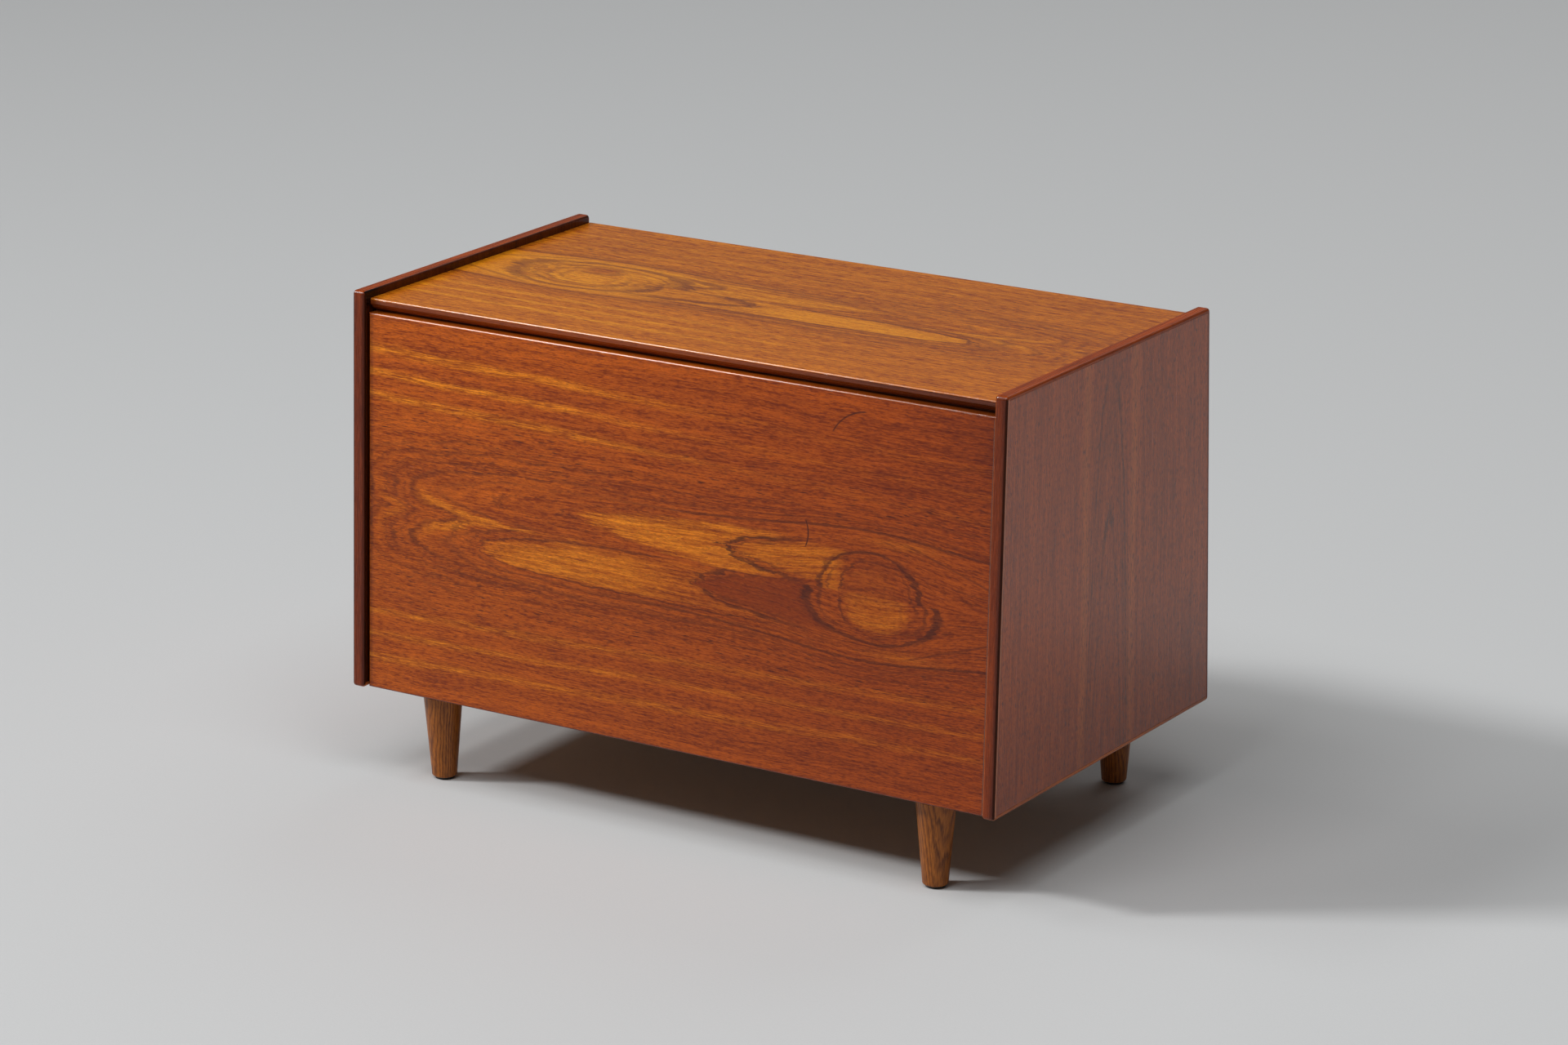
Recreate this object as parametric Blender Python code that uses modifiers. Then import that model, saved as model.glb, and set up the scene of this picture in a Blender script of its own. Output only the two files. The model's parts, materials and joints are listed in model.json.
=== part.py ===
"""Drop-front bar cabinet: a veneered case with lipped sides on four turned legs.

The fall flap turns on two pivot pins at its foot and is held level by two slotted stays.
Metres, +Z up, +X to the right, the front facing -Y, origin on the floor under the middle.
"""

import math

import bmesh
import bpy
from mathutils import Matrix, Vector

# Case
WIDTH = 0.840
SIDE_HEIGHT = 0.458
BASE_DEPTH = 0.478
TAPER = 0.018  # how far the front edge, and the back edge, leans in by the top
SIDE_THICK = 0.015
SIDE_LIP = 0.005
SIDE_ROUND = 0.003
SIDE_CORNER = 0.0045
LEG_HEIGHT = 0.1035  # floor to the underside of the case

# Top board and its front strip with the finger bevel
TOP_DROP = 0.0097  # below the tops of the sides
TOP_THICK = 0.016
TOP_RECESS = 0.0125  # front strip behind the sides' front edges
STRIP_HEIGHT = 0.013
STRIP_FACE = 0.006
STRIP_BEVEL = 0.007
STRIP_ROUND = 0.0015

# Fall flap and the pins it turns on
FLAP_THICK = 0.016
FLAP_RECESS = 0.007
FLAP_LIP = 0.005
FLAP_ROUND = 0.002
FLAP_FOOT_ROUND = 0.0045
FLAP_SIDE_GAP = 0.002
FLAP_TOP_GAP = 0.002
HINGE_RISE = 0.0095  # axis above the flap's foot
HINGE_INSET = 0.0065  # axis in front of the flap's inner face
SWING_CLEAR = 0.0012
PIN_RADIUS = 0.002
PIN_IN_FLAP = 0.022
PIN_IN_BUSH = 0.007
BUSH_RADIUS = 0.0035
BUSH_DEPTH = 0.008

# Floor board, back board and the rail that stops the flap
FLOOR_LIP = 0.006
TONGUE_THICK = 0.006
TONGUE_DEPTH = 0.005
TONGUE_DOWN = 0.003  # tongue below its board's upper face
TONGUE_INSET = 0.014  # tongue short of its board's front and back edges
BACK_THICK = 0.006
BACK_INSET = 0.006
BACK_FOOT = 0.007  # back board's lower edge above the underside
GROOVE_DEPTH = 0.004
RAIL_DEPTH = 0.022
RAIL_HEIGHT = 0.022

# Magnetic catch
CATCH_WIDTH = 0.046
CATCH_DEPTH = 0.014
CATCH_HEIGHT = 0.013
PLATE_WIDTH = 0.040
PLATE_HEIGHT = 0.009
PLATE_THICK = 0.0012

# Slotted stays
STAY_RADIUS = 0.190  # hinge axis to either of a stay's two pivots
STAY_ANGLE = math.radians(32)  # between those pivots, with the flap shut
STAY_STANDOFF = 0.012  # stay pivot behind the flap's inner face
ARM_WIDTH = 0.014
ARM_THICK = 0.002
ARM_SIDE_GAP = 0.0018
BRACKET_WIDTH = 0.022
BRACKET_HEIGHT = 0.044
BRACKET_THICK = 0.002
LUG_WIDTH = 0.014
RIVET_RADIUS = 0.0025
RIVET_HEAD_RADIUS = 0.0045
RIVET_HEAD = 0.001
STUD_RADIUS = 0.003
STUD_HEAD_RADIUS = 0.0055
STUD_HEAD = 0.002
STUD_COLLAR_RADIUS = 0.005
STUD_IN_SIDE = 0.008

# Half-depth shelf on pegs
SHELF_DEPTH = 0.185
SHELF_THICK = 0.014
SHELF_RISE = 0.255  # its underside above the floor board
SHELF_SIDE_GAP = 0.001
SHELF_BACK_GAP = 0.002
SHELF_ROUND = 0.0015
PEG_RADIUS = 0.0025
PEG_IN_SIDE = 0.008
PEG_OUT = 0.009
PEG_INSET = 0.035  # from the shelf's front and back edges

# Legs
LEG_TOP_RADIUS = 0.0222
LEG_FOOT_RADIUS = 0.0143
LEG_SIDE_INSET = 0.0955  # leg axis from the case's outer side
LEG_EDGE_INSET = 0.0425  # leg axis from the sides' lower corners
LEG_SHOULDER = 0.006  # the flap's foot swings past the chamfer at the top of the leg
LEG_SHOULDER_HEIGHT = 0.0045
LEG_FOOT_ROUND = 0.0015
GLIDE_RADIUS = 0.011
GLIDE_THICK = 0.0024
STEM_RADIUS = 0.0025
STEM_LENGTH = 0.010
BOLT_RADIUS = 0.004
BOLT_IN_LEG = 0.028
BOLT_IN_INSERT = 0.010
INSERT_RADIUS = 0.006
INSERT_LENGTH = 0.011

GAP = 0.0003  # between pieces that meet
ROUND_STEPS = 3
TURN_STEPS = 24

# Levels and planes worked out from the sizes above
BASE_Z = LEG_HEIGHT
SIDE_TOP_Z = BASE_Z + SIDE_HEIGHT
TOP_Z = SIDE_TOP_Z - TOP_DROP
TOP_UNDER_Z = TOP_Z - TOP_THICK
STRIP_UNDER_Z = TOP_Z - STRIP_HEIGHT
FLOOR_THICK = HINGE_RISE + HINGE_INSET  # the open flap lies flush with the floor board
FLOOR_Z = BASE_Z + FLOOR_THICK
INNER_X = WIDTH / 2 - SIDE_THICK
BOARD_X = INNER_X - GAP
SLANT = math.atan2(TAPER, SIDE_HEIGHT)
HINGE_Z = BASE_Z + HINGE_RISE


def front_edge(z):
    """Y of the sides' front edges at a height."""
    return -BASE_DEPTH / 2 + TAPER * (z - BASE_Z) / SIDE_HEIGHT


def back_edge(z):
    return -front_edge(z)


HINGE_Y = front_edge(HINGE_Z) + FLAP_RECESS + (FLAP_THICK - HINGE_INSET) / math.cos(SLANT)
FLAP_X = INNER_X - FLAP_SIDE_GAP
FLAP_FRONT = HINGE_INSET - FLAP_THICK  # in the flap's own frame, as are the next two
FLAP_FOOT = -HINGE_RISE
FLAP_TOP = (STRIP_UNDER_Z - FLAP_TOP_GAP - HINGE_Z + FLAP_FRONT * math.sin(SLANT)) / math.cos(SLANT)
FOOT_ROUND = min(FLAP_FOOT_ROUND, FLAP_LIP - GAP)
SWING = math.hypot(HINGE_INSET - FOOT_ROUND, HINGE_RISE - FOOT_ROUND) + FOOT_ROUND
FLOOR_FRONT = HINGE_Y + max(SWING, HINGE_RISE) + SWING_CLEAR


def flap_inner(z, behind=0.0):
    """Y of the shut flap's inner face at a height, or of a plane so far behind it."""
    lean = (z - HINGE_Z) * math.sin(SLANT)
    return HINGE_Y + (HINGE_INSET + behind + lean) / math.cos(SLANT)


def back_inner(z):
    return back_edge(z) - BACK_INSET - BACK_THICK


def clear_scene():
    for old in list(bpy.data.objects):
        bpy.data.objects.remove(old, do_unlink=True)


def new_collection(name):
    made = bpy.data.collections.new(name)
    bpy.context.scene.collection.children.link(made)
    return made


clear_scene()
PARTS = new_collection("bar_cabinet")
CUTTERS = new_collection("cutters")


def finish(name, colour, roughness, metallic=0.0):
    made = bpy.data.materials.new(name)
    made.use_nodes = True
    shader = made.node_tree.nodes["Principled BSDF"]
    shader.inputs["Base Color"].default_value = (*colour, 1.0)
    shader.inputs["Roughness"].default_value = roughness
    shader.inputs["Metallic"].default_value = metallic
    return made


TEAK_VENEER = finish("teak_veneer", (0.38, 0.14, 0.045), 0.38)
TEAK_SOLID = finish("teak_solid", (0.27, 0.085, 0.035), 0.36)
OAK = finish("oak", (0.33, 0.17, 0.06), 0.45)
PLY = finish("back_ply", (0.30, 0.15, 0.07), 0.6)
BRASS = finish("brass", (0.62, 0.44, 0.16), 0.3, 1.0)
STEEL = finish("zinc_steel", (0.50, 0.50, 0.50), 0.4, 1.0)
CATCH_BROWN = finish("catch_brown", (0.09, 0.05, 0.03), 0.5)
GLIDE_BLACK = finish("glide_black", (0.015, 0.015, 0.015), 0.5)


def add_object(name, mesh, material, at=(0, 0, 0), parent=None):
    made = bpy.data.objects.new(name, mesh)
    made.location = at
    made.parent = parent
    if material is None:
        CUTTERS.objects.link(made)
        made.hide_render = True
        made.display_type = "WIRE"
    else:
        PARTS.objects.link(made)
        mesh.materials.append(material)
    return made


def pivot(name, at, tilt=0.0, parent=None):
    """An empty on a joint's axis."""
    made = bpy.data.objects.new(name, None)
    made.location = at
    made.rotation_euler = (tilt, 0, 0)
    made.parent = parent
    PARTS.objects.link(made)
    return made


def rounded(corners, radii):
    """A closed outline with an arc of the given radius at each corner, where it isn't 0."""
    points = []
    for index, radius in enumerate(radii):
        corner = Vector(corners[index])
        if not radius:
            points.append(corner)
            continue
        before = (Vector(corners[index - 1]) - corner).normalized()
        after = (Vector(corners[(index + 1) % len(corners)]) - corner).normalized()
        half = before.angle(after) / 2
        centre = corner + (before + after).normalized() * radius / math.sin(half)
        start = corner + before * radius / math.tan(half) - centre
        turn = start.angle_signed(corner + after * radius / math.tan(half) - centre)
        for step in range(ROUND_STEPS + 1):
            spoke = start.copy()
            spoke.rotate(Matrix.Rotation(-turn * step / ROUND_STEPS, 2))
            points.append(centre + spoke)
    return points


def rectangle(u0, v0, u1, v1, radii=(0, 0, 0, 0)):
    """Corners in the order u0 v0, u1 v0, u1 v1, u0 v1."""
    return rounded([(u0, v0), (u1, v0), (u1, v1), (u0, v1)], radii)


def circle(u, v, radius):
    turns = [math.tau * step / TURN_STEPS for step in range(TURN_STEPS)]
    return [(u + radius * math.cos(turn), v + radius * math.sin(turn)) for turn in turns]


def stadium(u0, u1, radius):
    """A slot's outline along u, with its end centres at u0 and u1."""
    points = []
    for centre, first in ((u1, -math.pi / 2), (u0, math.pi / 2)):
        for step in range(TURN_STEPS // 2 + 1):
            turn = first + math.pi * step / (TURN_STEPS // 2)
            points.append((centre + radius * math.cos(turn), radius * math.sin(turn)))
    return points


# How an outline's two axes and its thickness lie in space
FACING = {
    "X": Matrix(((0, 0, 1), (1, 0, 0), (0, 1, 0))).to_4x4(),
    "Y": Matrix.Rotation(math.pi / 2, 4, "X"),
    "Z": Matrix.Identity(4),
}


def outline_mesh(name, loops, first, last, facing):
    """Outlines filled, given thickness from first to last along the facing axis, and welded."""
    curve = bpy.data.curves.new(name, "CURVE")
    curve.dimensions = "2D"
    curve.fill_mode = "BOTH"
    curve.extrude = (last - first) / 2
    for loop in loops:
        spline = curve.splines.new("POLY")
        spline.points.add(len(loop) - 1)
        spline.use_cyclic_u = True
        for point, place in zip(spline.points, loop):
            point.co = (place[0], place[1], 0, 1)
    guide = bpy.data.objects.new(name, curve)
    bpy.context.scene.collection.objects.link(guide)
    graph = bpy.context.evaluated_depsgraph_get()
    mesh = bpy.data.meshes.new_from_object(guide.evaluated_get(graph))
    bpy.data.objects.remove(guide)
    bpy.data.curves.remove(curve)
    middle = (first + last) / 2
    shape = bmesh.new()
    shape.from_mesh(mesh)
    bmesh.ops.remove_doubles(shape, verts=shape.verts, dist=1e-6)
    bmesh.ops.recalc_face_normals(shape, faces=shape.faces)
    shape.transform(FACING[facing] @ Matrix.Translation((0, 0, middle if facing != "Y" else -middle)))
    shape.to_mesh(mesh)
    shape.free()
    mesh.name = name
    return mesh


def slab(name, outline, first, last, facing, material, at=(0, 0, 0), parent=None, holes=()):
    mesh = outline_mesh(name, [outline, *holes], first, last, facing)
    return add_object(name, mesh, material, at, parent)


def block(name, low, high, material, at=(0, 0, 0), parent=None):
    low = Vector(low)
    high = Vector(high)
    mesh = bpy.data.meshes.new(name)
    shape = bmesh.new()
    bmesh.ops.create_cube(shape, size=1)
    bmesh.ops.scale(shape, vec=high - low, verts=shape.verts)
    bmesh.ops.translate(shape, vec=(low + high) / 2, verts=shape.verts)
    shape.to_mesh(mesh)
    shape.free()
    return add_object(name, mesh, material, at, parent)


def turned(name, profile, material, at=(0, 0, 0), along=0, closed=False, parent=None):
    """A profile of (radius, height), outer side downwards, turned about Z or, with along, about X."""
    mesh = bpy.data.meshes.new(name)
    shape = bmesh.new()
    verts = [shape.verts.new((radius, 0, height)) for radius, height in profile]
    for first, second in zip(verts, verts[1:]):
        shape.edges.new((first, second))
    if closed:
        shape.edges.new((verts[-1], verts[0]))
    shape.to_mesh(mesh)
    shape.free()
    made = add_object(name, mesh, material, at, parent)
    made.rotation_euler = (0, along * math.pi / 2, 0)
    screw = made.modifiers.new("turn", "SCREW")
    screw.axis = "Z"
    screw.steps = TURN_STEPS
    screw.render_steps = TURN_STEPS
    screw.use_merge_vertices = True
    screw.merge_threshold = 1e-5
    screw.use_smooth_shade = True
    return made


def rod(name, radius, first, last, material, at=(0, 0, 0), along=0, parent=None):
    profile = [(0, last), (radius, last), (radius, first), (0, first)]
    return turned(name, profile, material, at, along, parent=parent)


def combine(piece, other, operation):
    step = piece.modifiers.new(other.name, "BOOLEAN")
    step.operation = operation
    step.solver = "EXACT"
    step.object = other


def cut(piece, *cutters):
    for cutter in cutters:
        combine(piece, cutter, "DIFFERENCE")


SIDES = (("left", -1), ("right", 1))
ENDS = (("front", -1), ("back", 1))


def inset_corners(distance):
    """The side's four corners, moved inwards: front foot, back foot, back top, front top."""
    lean = distance / math.cos(SLANT)
    low = BASE_Z + distance
    high = SIDE_TOP_Z - distance
    return [
        (front_edge(low) + lean, low),
        (back_edge(low) - lean, low),
        (back_edge(high) - lean, high),
        (front_edge(high) + lean, high),
    ]


def make_side(name, side, cutters):
    """A veneered board in four mitred lippings, cut from one board with rounded edges."""
    outer = side * WIDTH / 2
    inner = side * INNER_X
    first = min(outer, inner)
    last = max(outer, inner)
    board = slab(f"{name}_side_blank", rounded(inset_corners(0), [SIDE_CORNER] * 4), first, last, "X", None)
    arris = board.modifiers.new("arris", "BEVEL")
    arris.width = SIDE_ROUND
    arris.segments = ROUND_STEPS
    arris.limit_method = "ANGLE"
    arris.angle_limit = math.radians(60)
    core = slab(f"side_panel_{name}", inset_corners(SIDE_LIP + GAP), first, last, "X", TEAK_VENEER)
    cut(core, *cutters)
    reach = inset_corners(-SIDE_LIP)
    inside = inset_corners(SIDE_LIP)
    for index, place in enumerate(("bottom", "back", "top", "front")):
        following = (index + 1) % 4
        ring = [reach[index], reach[following], inside[following], inside[index]]
        along = (Vector(reach[following]) - Vector(reach[index])).normalized() * GAP * math.sqrt(0.5)
        trimmed = [Vector(corner) + along * way for corner, way in zip(ring, (1, -1, -1, 1))]
        strip = slab(
            f"side_lipping_{name}_{place}", trimmed, first - SIDE_LIP, last + SIDE_LIP, "X", TEAK_SOLID
        )
        combine(strip, board, "INTERSECT")
        if place == "bottom":
            cut(strip, cutters[0])


def make_tongued_board(name, low, high, material):
    """A board between the sides with one tongue let into both of them, and the cutter for its grooves."""
    reach = INNER_X + TONGUE_DEPTH
    crown = high[2] - TONGUE_DOWN
    tongue_low = Vector((-reach + GAP, low[1] + TONGUE_INSET, crown - TONGUE_THICK))
    tongue_high = Vector((reach - GAP, high[1] - TONGUE_INSET, crown))
    room = Vector((GAP * 2, GAP, GAP))
    board = block(name, low, high, material)
    combine(board, block(f"{name}_tongue", tongue_low, tongue_high, None), "UNION")
    return board, block(f"{name}_groove", tongue_low - room, tongue_high + room, None)


def make_top():
    front = flap_inner(TOP_UNDER_Z, behind=GAP) + GAP
    board, groove = make_tongued_board(
        "top_panel", (-BOARD_X, front, TOP_UNDER_Z), (BOARD_X, back_edge(TOP_Z), TOP_Z), TEAK_VENEER
    )
    strip_front = front_edge(TOP_Z) + TOP_RECESS
    strip = [
        (strip_front, TOP_Z - STRIP_FACE),
        (strip_front + STRIP_BEVEL, STRIP_UNDER_Z),
        (front - GAP, STRIP_UNDER_Z),
        (front - GAP, TOP_Z),
        (strip_front, TOP_Z),
    ]
    slab("top_front_strip", rounded(strip, [0, 0, 0, 0, STRIP_ROUND]), -BOARD_X, BOARD_X, "X", TEAK_SOLID)
    rail_front = [flap_inner(z, behind=GAP) for z in (TOP_UNDER_Z - RAIL_HEIGHT - GAP, TOP_UNDER_Z - GAP)]
    rail = [
        (rail_front[0], TOP_UNDER_Z - RAIL_HEIGHT - GAP),
        (rail_front[1] + RAIL_DEPTH, TOP_UNDER_Z - RAIL_HEIGHT - GAP),
        (rail_front[1] + RAIL_DEPTH, TOP_UNDER_Z - GAP),
        (rail_front[1], TOP_UNDER_Z - GAP),
    ]
    slab("stop_rail", rail, -BOARD_X, BOARD_X, "X", TEAK_SOLID)
    return groove


def leg_places():
    x = WIDTH / 2 - LEG_SIDE_INSET
    y = BASE_DEPTH / 2 - LEG_EDGE_INSET
    for end, along in ENDS:
        for name, side in SIDES:
            yield f"{end}_{name}", (side * x, along * y, 0)


def make_floor():
    front = FLOOR_FRONT + FLOOR_LIP + GAP
    back = back_inner(FLOOR_Z) - GAP
    board, groove = make_tongued_board(
        "bottom_panel", (-BOARD_X, front, BASE_Z), (BOARD_X, back, FLOOR_Z), TEAK_VENEER
    )
    lip = rectangle(FLOOR_FRONT, BASE_Z, FLOOR_FRONT + FLOOR_LIP, FLOOR_Z, (STRIP_ROUND, 0, 0, STRIP_ROUND))
    slab("bottom_front_lipping", lip, -BOARD_X, BOARD_X, "X", TEAK_SOLID)
    for name, place in leg_places():
        socket = rod(
            f"socket_{name}", INSERT_RADIUS + GAP, BASE_Z - GAP, BASE_Z + INSERT_LENGTH + 2 * GAP, None, place
        )
        cut(board, socket)
    return groove


def back_outline(room):
    low = BASE_Z + BACK_FOOT - room
    high = TOP_UNDER_Z - GAP + room
    return [
        (back_inner(low) - room, low),
        (back_inner(low) + BACK_THICK + room, low),
        (back_inner(high) + BACK_THICK + room, high),
        (back_inner(high) - room, high),
    ]


def make_back():
    reach = INNER_X + GROOVE_DEPTH
    slab("back_panel", back_outline(0), -reach + GAP, reach - GAP, "X", PLY)
    return slab("back_groove", back_outline(GAP), -reach - GAP, reach + GAP, "X", None)


def make_flap(hinge):
    """The lipped flap in its own frame, whose origin is on the hinge axis."""
    inside = (FLAP_X - FLAP_LIP - GAP, FLAP_TOP - FLAP_LIP - GAP, FLAP_FOOT + FLAP_LIP + GAP)
    core = block(
        "flap_panel",
        (-inside[0], FLAP_FRONT, inside[2]),
        (inside[0], HINGE_INSET, inside[1]),
        TEAK_VENEER,
        parent=hinge,
    )
    head = rectangle(FLAP_FRONT, FLAP_TOP - FLAP_LIP, HINGE_INSET, FLAP_TOP, (0, 0, STRIP_ROUND, FLAP_ROUND))
    slab("flap_lipping_top", head, -FLAP_X, FLAP_X, "X", TEAK_SOLID, parent=hinge)
    foot = rectangle(FLAP_FRONT, FLAP_FOOT, HINGE_INSET, FLAP_FOOT + FLAP_LIP, (FLAP_ROUND, FOOT_ROUND, 0, 0))
    slab("flap_lipping_bottom", foot, -FLAP_X, FLAP_X, "X", TEAK_SOLID, parent=hinge)
    for name, side in SIDES:
        edges = sorted((side * (FLAP_X - FLAP_LIP), side * FLAP_X))
        radii = (FLAP_ROUND, 0, 0, 0) if side < 0 else (0, FLAP_ROUND, 0, 0)
        edge = rectangle(edges[0], FLAP_FRONT, edges[1], HINGE_INSET, radii)
        strip = slab(f"flap_lipping_{name}", edge, inside[2], inside[1], "Z", TEAK_SOLID, parent=hinge)
        inner_face = (side * INNER_X, 0, 0)
        end = -FLAP_SIDE_GAP - PIN_IN_FLAP
        bore = PIN_RADIUS + GAP
        rod(f"hinge_pin_{name}", PIN_RADIUS, end, PIN_IN_BUSH, BRASS, inner_face, side, hinge)
        hole = rod(f"pin_hole_{name}", bore, end - GAP, PIN_IN_BUSH, None, inner_face, side, hinge)
        cut(strip, hole)
        cut(core, hole)


def make_catch(hinge):
    low = TOP_UNDER_Z - RAIL_HEIGHT - 2 * GAP - CATCH_HEIGHT
    front = flap_inner(low + CATCH_HEIGHT, behind=PLATE_THICK + 2 * GAP)
    block(
        "catch_magnet",
        (-CATCH_WIDTH / 2, front, low),
        (CATCH_WIDTH / 2, front + CATCH_DEPTH, low + CATCH_HEIGHT),
        CATCH_BROWN,
    )
    middle = (low + CATCH_HEIGHT / 2 - HINGE_Z) / math.cos(SLANT)
    block(
        "catch_plate",
        (-PLATE_WIDTH / 2, HINGE_INSET + GAP, middle - PLATE_HEIGHT / 2),
        (PLATE_WIDTH / 2, HINGE_INSET + GAP + PLATE_THICK, middle + PLATE_HEIGHT / 2),
        STEEL,
        parent=hinge,
    )


# A stay's two pivots lie the same distance from the hinge axis, so its arm turns half as fast as the flap
STAY_DEPTH = HINGE_INSET + STAY_STANDOFF
STAY_LIFT = math.sqrt(STAY_RADIUS**2 - STAY_DEPTH**2)
FLAP_PIVOT_ANGLE = SLANT + math.atan2(STAY_DEPTH, STAY_LIFT)  # back from upright
STUD_ANGLE = FLAP_PIVOT_ANGLE + STAY_ANGLE
STUD_Y = HINGE_Y + STAY_RADIUS * math.sin(STUD_ANGLE)
STUD_Z = HINGE_Z + STAY_RADIUS * math.cos(STUD_ANGLE)
ARM_DROP = (FLAP_PIVOT_ANGLE + STUD_ANGLE) / 2  # arm below level, with the flap shut
FLAP_SWING = math.pi / 2 + SLANT
REACH_SHUT = 2 * STAY_RADIUS * math.sin(STAY_ANGLE / 2)
REACH_OPEN = 2 * STAY_RADIUS * math.sin((STAY_ANGLE + FLAP_SWING) / 2)
ARM_OUTER = -ARM_SIDE_GAP  # from the side's inner face, outwards positive, as are the next three
ARM_INNER = ARM_OUTER - ARM_THICK
LUG_OUTER = ARM_INNER - GAP
LUG_INNER = LUG_OUTER - BRACKET_THICK


def across(side, first, last):
    """A span of X from two places measured outwards from the side's inner face."""
    return sorted((side * (INNER_X + first), side * (INNER_X + last)))


def make_stay(name, side, hinge):
    arm_pivot = pivot(f"stay_pivot_{name}", (0, STAY_DEPTH, STAY_LIFT), SLANT - ARM_DROP, hinge)
    slot = stadium(REACH_SHUT, REACH_OPEN, STUD_RADIUS + GAP)
    eye = circle(0, 0, RIVET_RADIUS + GAP)
    shape = stadium(0, REACH_OPEN, ARM_WIDTH / 2)
    span = across(side, ARM_INNER, ARM_OUTER)
    slab(f"stay_arm_{name}", shape, *span, "X", BRASS, parent=arm_pivot, holes=(eye, slot))

    face = HINGE_INSET + GAP
    lug_span = across(side, LUG_INNER, LUG_OUTER)
    half = LUG_WIDTH / 2
    ear = rectangle(
        face, STAY_LIFT - half, STAY_DEPTH + half, STAY_LIFT + half, (0, half * 0.98, half * 0.98, 0)
    )
    bracket = slab(f"stay_bracket_{name}", ear, *lug_span, "X", BRASS, parent=hinge)
    base_span = across(side, LUG_OUTER - BRACKET_WIDTH, LUG_OUTER)
    base = block(
        f"bracket_base_{name}",
        (base_span[0], face, STAY_LIFT - BRACKET_HEIGHT / 2),
        (base_span[1], face + BRACKET_THICK, STAY_LIFT + BRACKET_HEIGHT / 2),
        None,
        parent=hinge,
    )
    combine(bracket, base, "UNION")
    place = (side * INNER_X, STAY_DEPTH, STAY_LIFT)
    cut(bracket, rod(f"rivet_hole_{name}", RIVET_RADIUS + GAP, LUG_INNER - GAP, 0, None, place, side, hinge))
    rivet = [
        (0, ARM_OUTER + GAP + RIVET_HEAD),
        (RIVET_HEAD_RADIUS, ARM_OUTER + GAP + RIVET_HEAD),
        (RIVET_HEAD_RADIUS, ARM_OUTER + GAP),
        (RIVET_RADIUS, ARM_OUTER + GAP),
        (RIVET_RADIUS, LUG_INNER - GAP),
        (RIVET_HEAD_RADIUS, LUG_INNER - GAP),
        (RIVET_HEAD_RADIUS, LUG_INNER - GAP - RIVET_HEAD),
        (0, LUG_INNER - GAP - RIVET_HEAD),
    ]
    turned(f"stay_rivet_{name}", rivet, BRASS, place, side, parent=hinge)

    stud = [
        (0, STUD_IN_SIDE),
        (STUD_RADIUS, STUD_IN_SIDE),
        (STUD_RADIUS, -GAP),
        (STUD_COLLAR_RADIUS, -GAP),
        (STUD_COLLAR_RADIUS, ARM_OUTER + GAP),
        (STUD_RADIUS, ARM_OUTER + GAP),
        (STUD_RADIUS, ARM_INNER - GAP),
        (STUD_HEAD_RADIUS, ARM_INNER - GAP),
        (STUD_HEAD_RADIUS, ARM_INNER - GAP - STUD_HEAD),
        (0, ARM_INNER - GAP - STUD_HEAD),
    ]
    seat = (side * INNER_X, STUD_Y, STUD_Z)
    turned(f"stay_stud_{name}", stud, BRASS, seat, side)
    return rod(f"stud_hole_{name}", STUD_RADIUS + GAP, -GAP, STUD_IN_SIDE + GAP, None, seat, side)


def make_bush(name, side):
    """The bush in a side that a hinge pin turns in, and the cutter for its hole."""
    seat = (side * INNER_X, HINGE_Y, HINGE_Z)
    bore = PIN_RADIUS + GAP
    wall = [(BUSH_RADIUS, BUSH_DEPTH), (BUSH_RADIUS, 0), (bore, 0), (bore, BUSH_DEPTH)]
    turned(f"hinge_bush_{name}", wall, BRASS, seat, side, closed=True)
    return rod(f"bush_hole_{name}", BUSH_RADIUS + GAP, -GAP, BUSH_DEPTH + GAP, None, seat, side)


SHELF_Z = FLOOR_Z + SHELF_RISE
SHELF_BACK = back_inner(SHELF_Z + SHELF_THICK) - SHELF_BACK_GAP
SHELF_FRONT = SHELF_BACK - SHELF_DEPTH


def make_shelf():
    edge = rectangle(
        SHELF_FRONT, SHELF_Z, SHELF_BACK, SHELF_Z + SHELF_THICK, (SHELF_ROUND, 0, 0, SHELF_ROUND)
    )
    reach = INNER_X - SHELF_SIDE_GAP
    slab("shelf", edge, -reach, reach, "X", TEAK_VENEER)


def make_pegs(name, side):
    """The shelf's two pegs on one side, and the cutters for their holes."""
    holes = []
    for end, y in (("front", SHELF_FRONT + PEG_INSET), ("back", SHELF_BACK - PEG_INSET)):
        seat = (side * INNER_X, y, SHELF_Z - GAP - PEG_RADIUS)
        rod(f"shelf_peg_{end}_{name}", PEG_RADIUS, -PEG_OUT, PEG_IN_SIDE, BRASS, seat, side)
        holes.append(
            rod(f"peg_hole_{end}_{name}", PEG_RADIUS + GAP, -GAP, PEG_IN_SIDE + GAP, None, seat, side)
        )
    return holes


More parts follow.
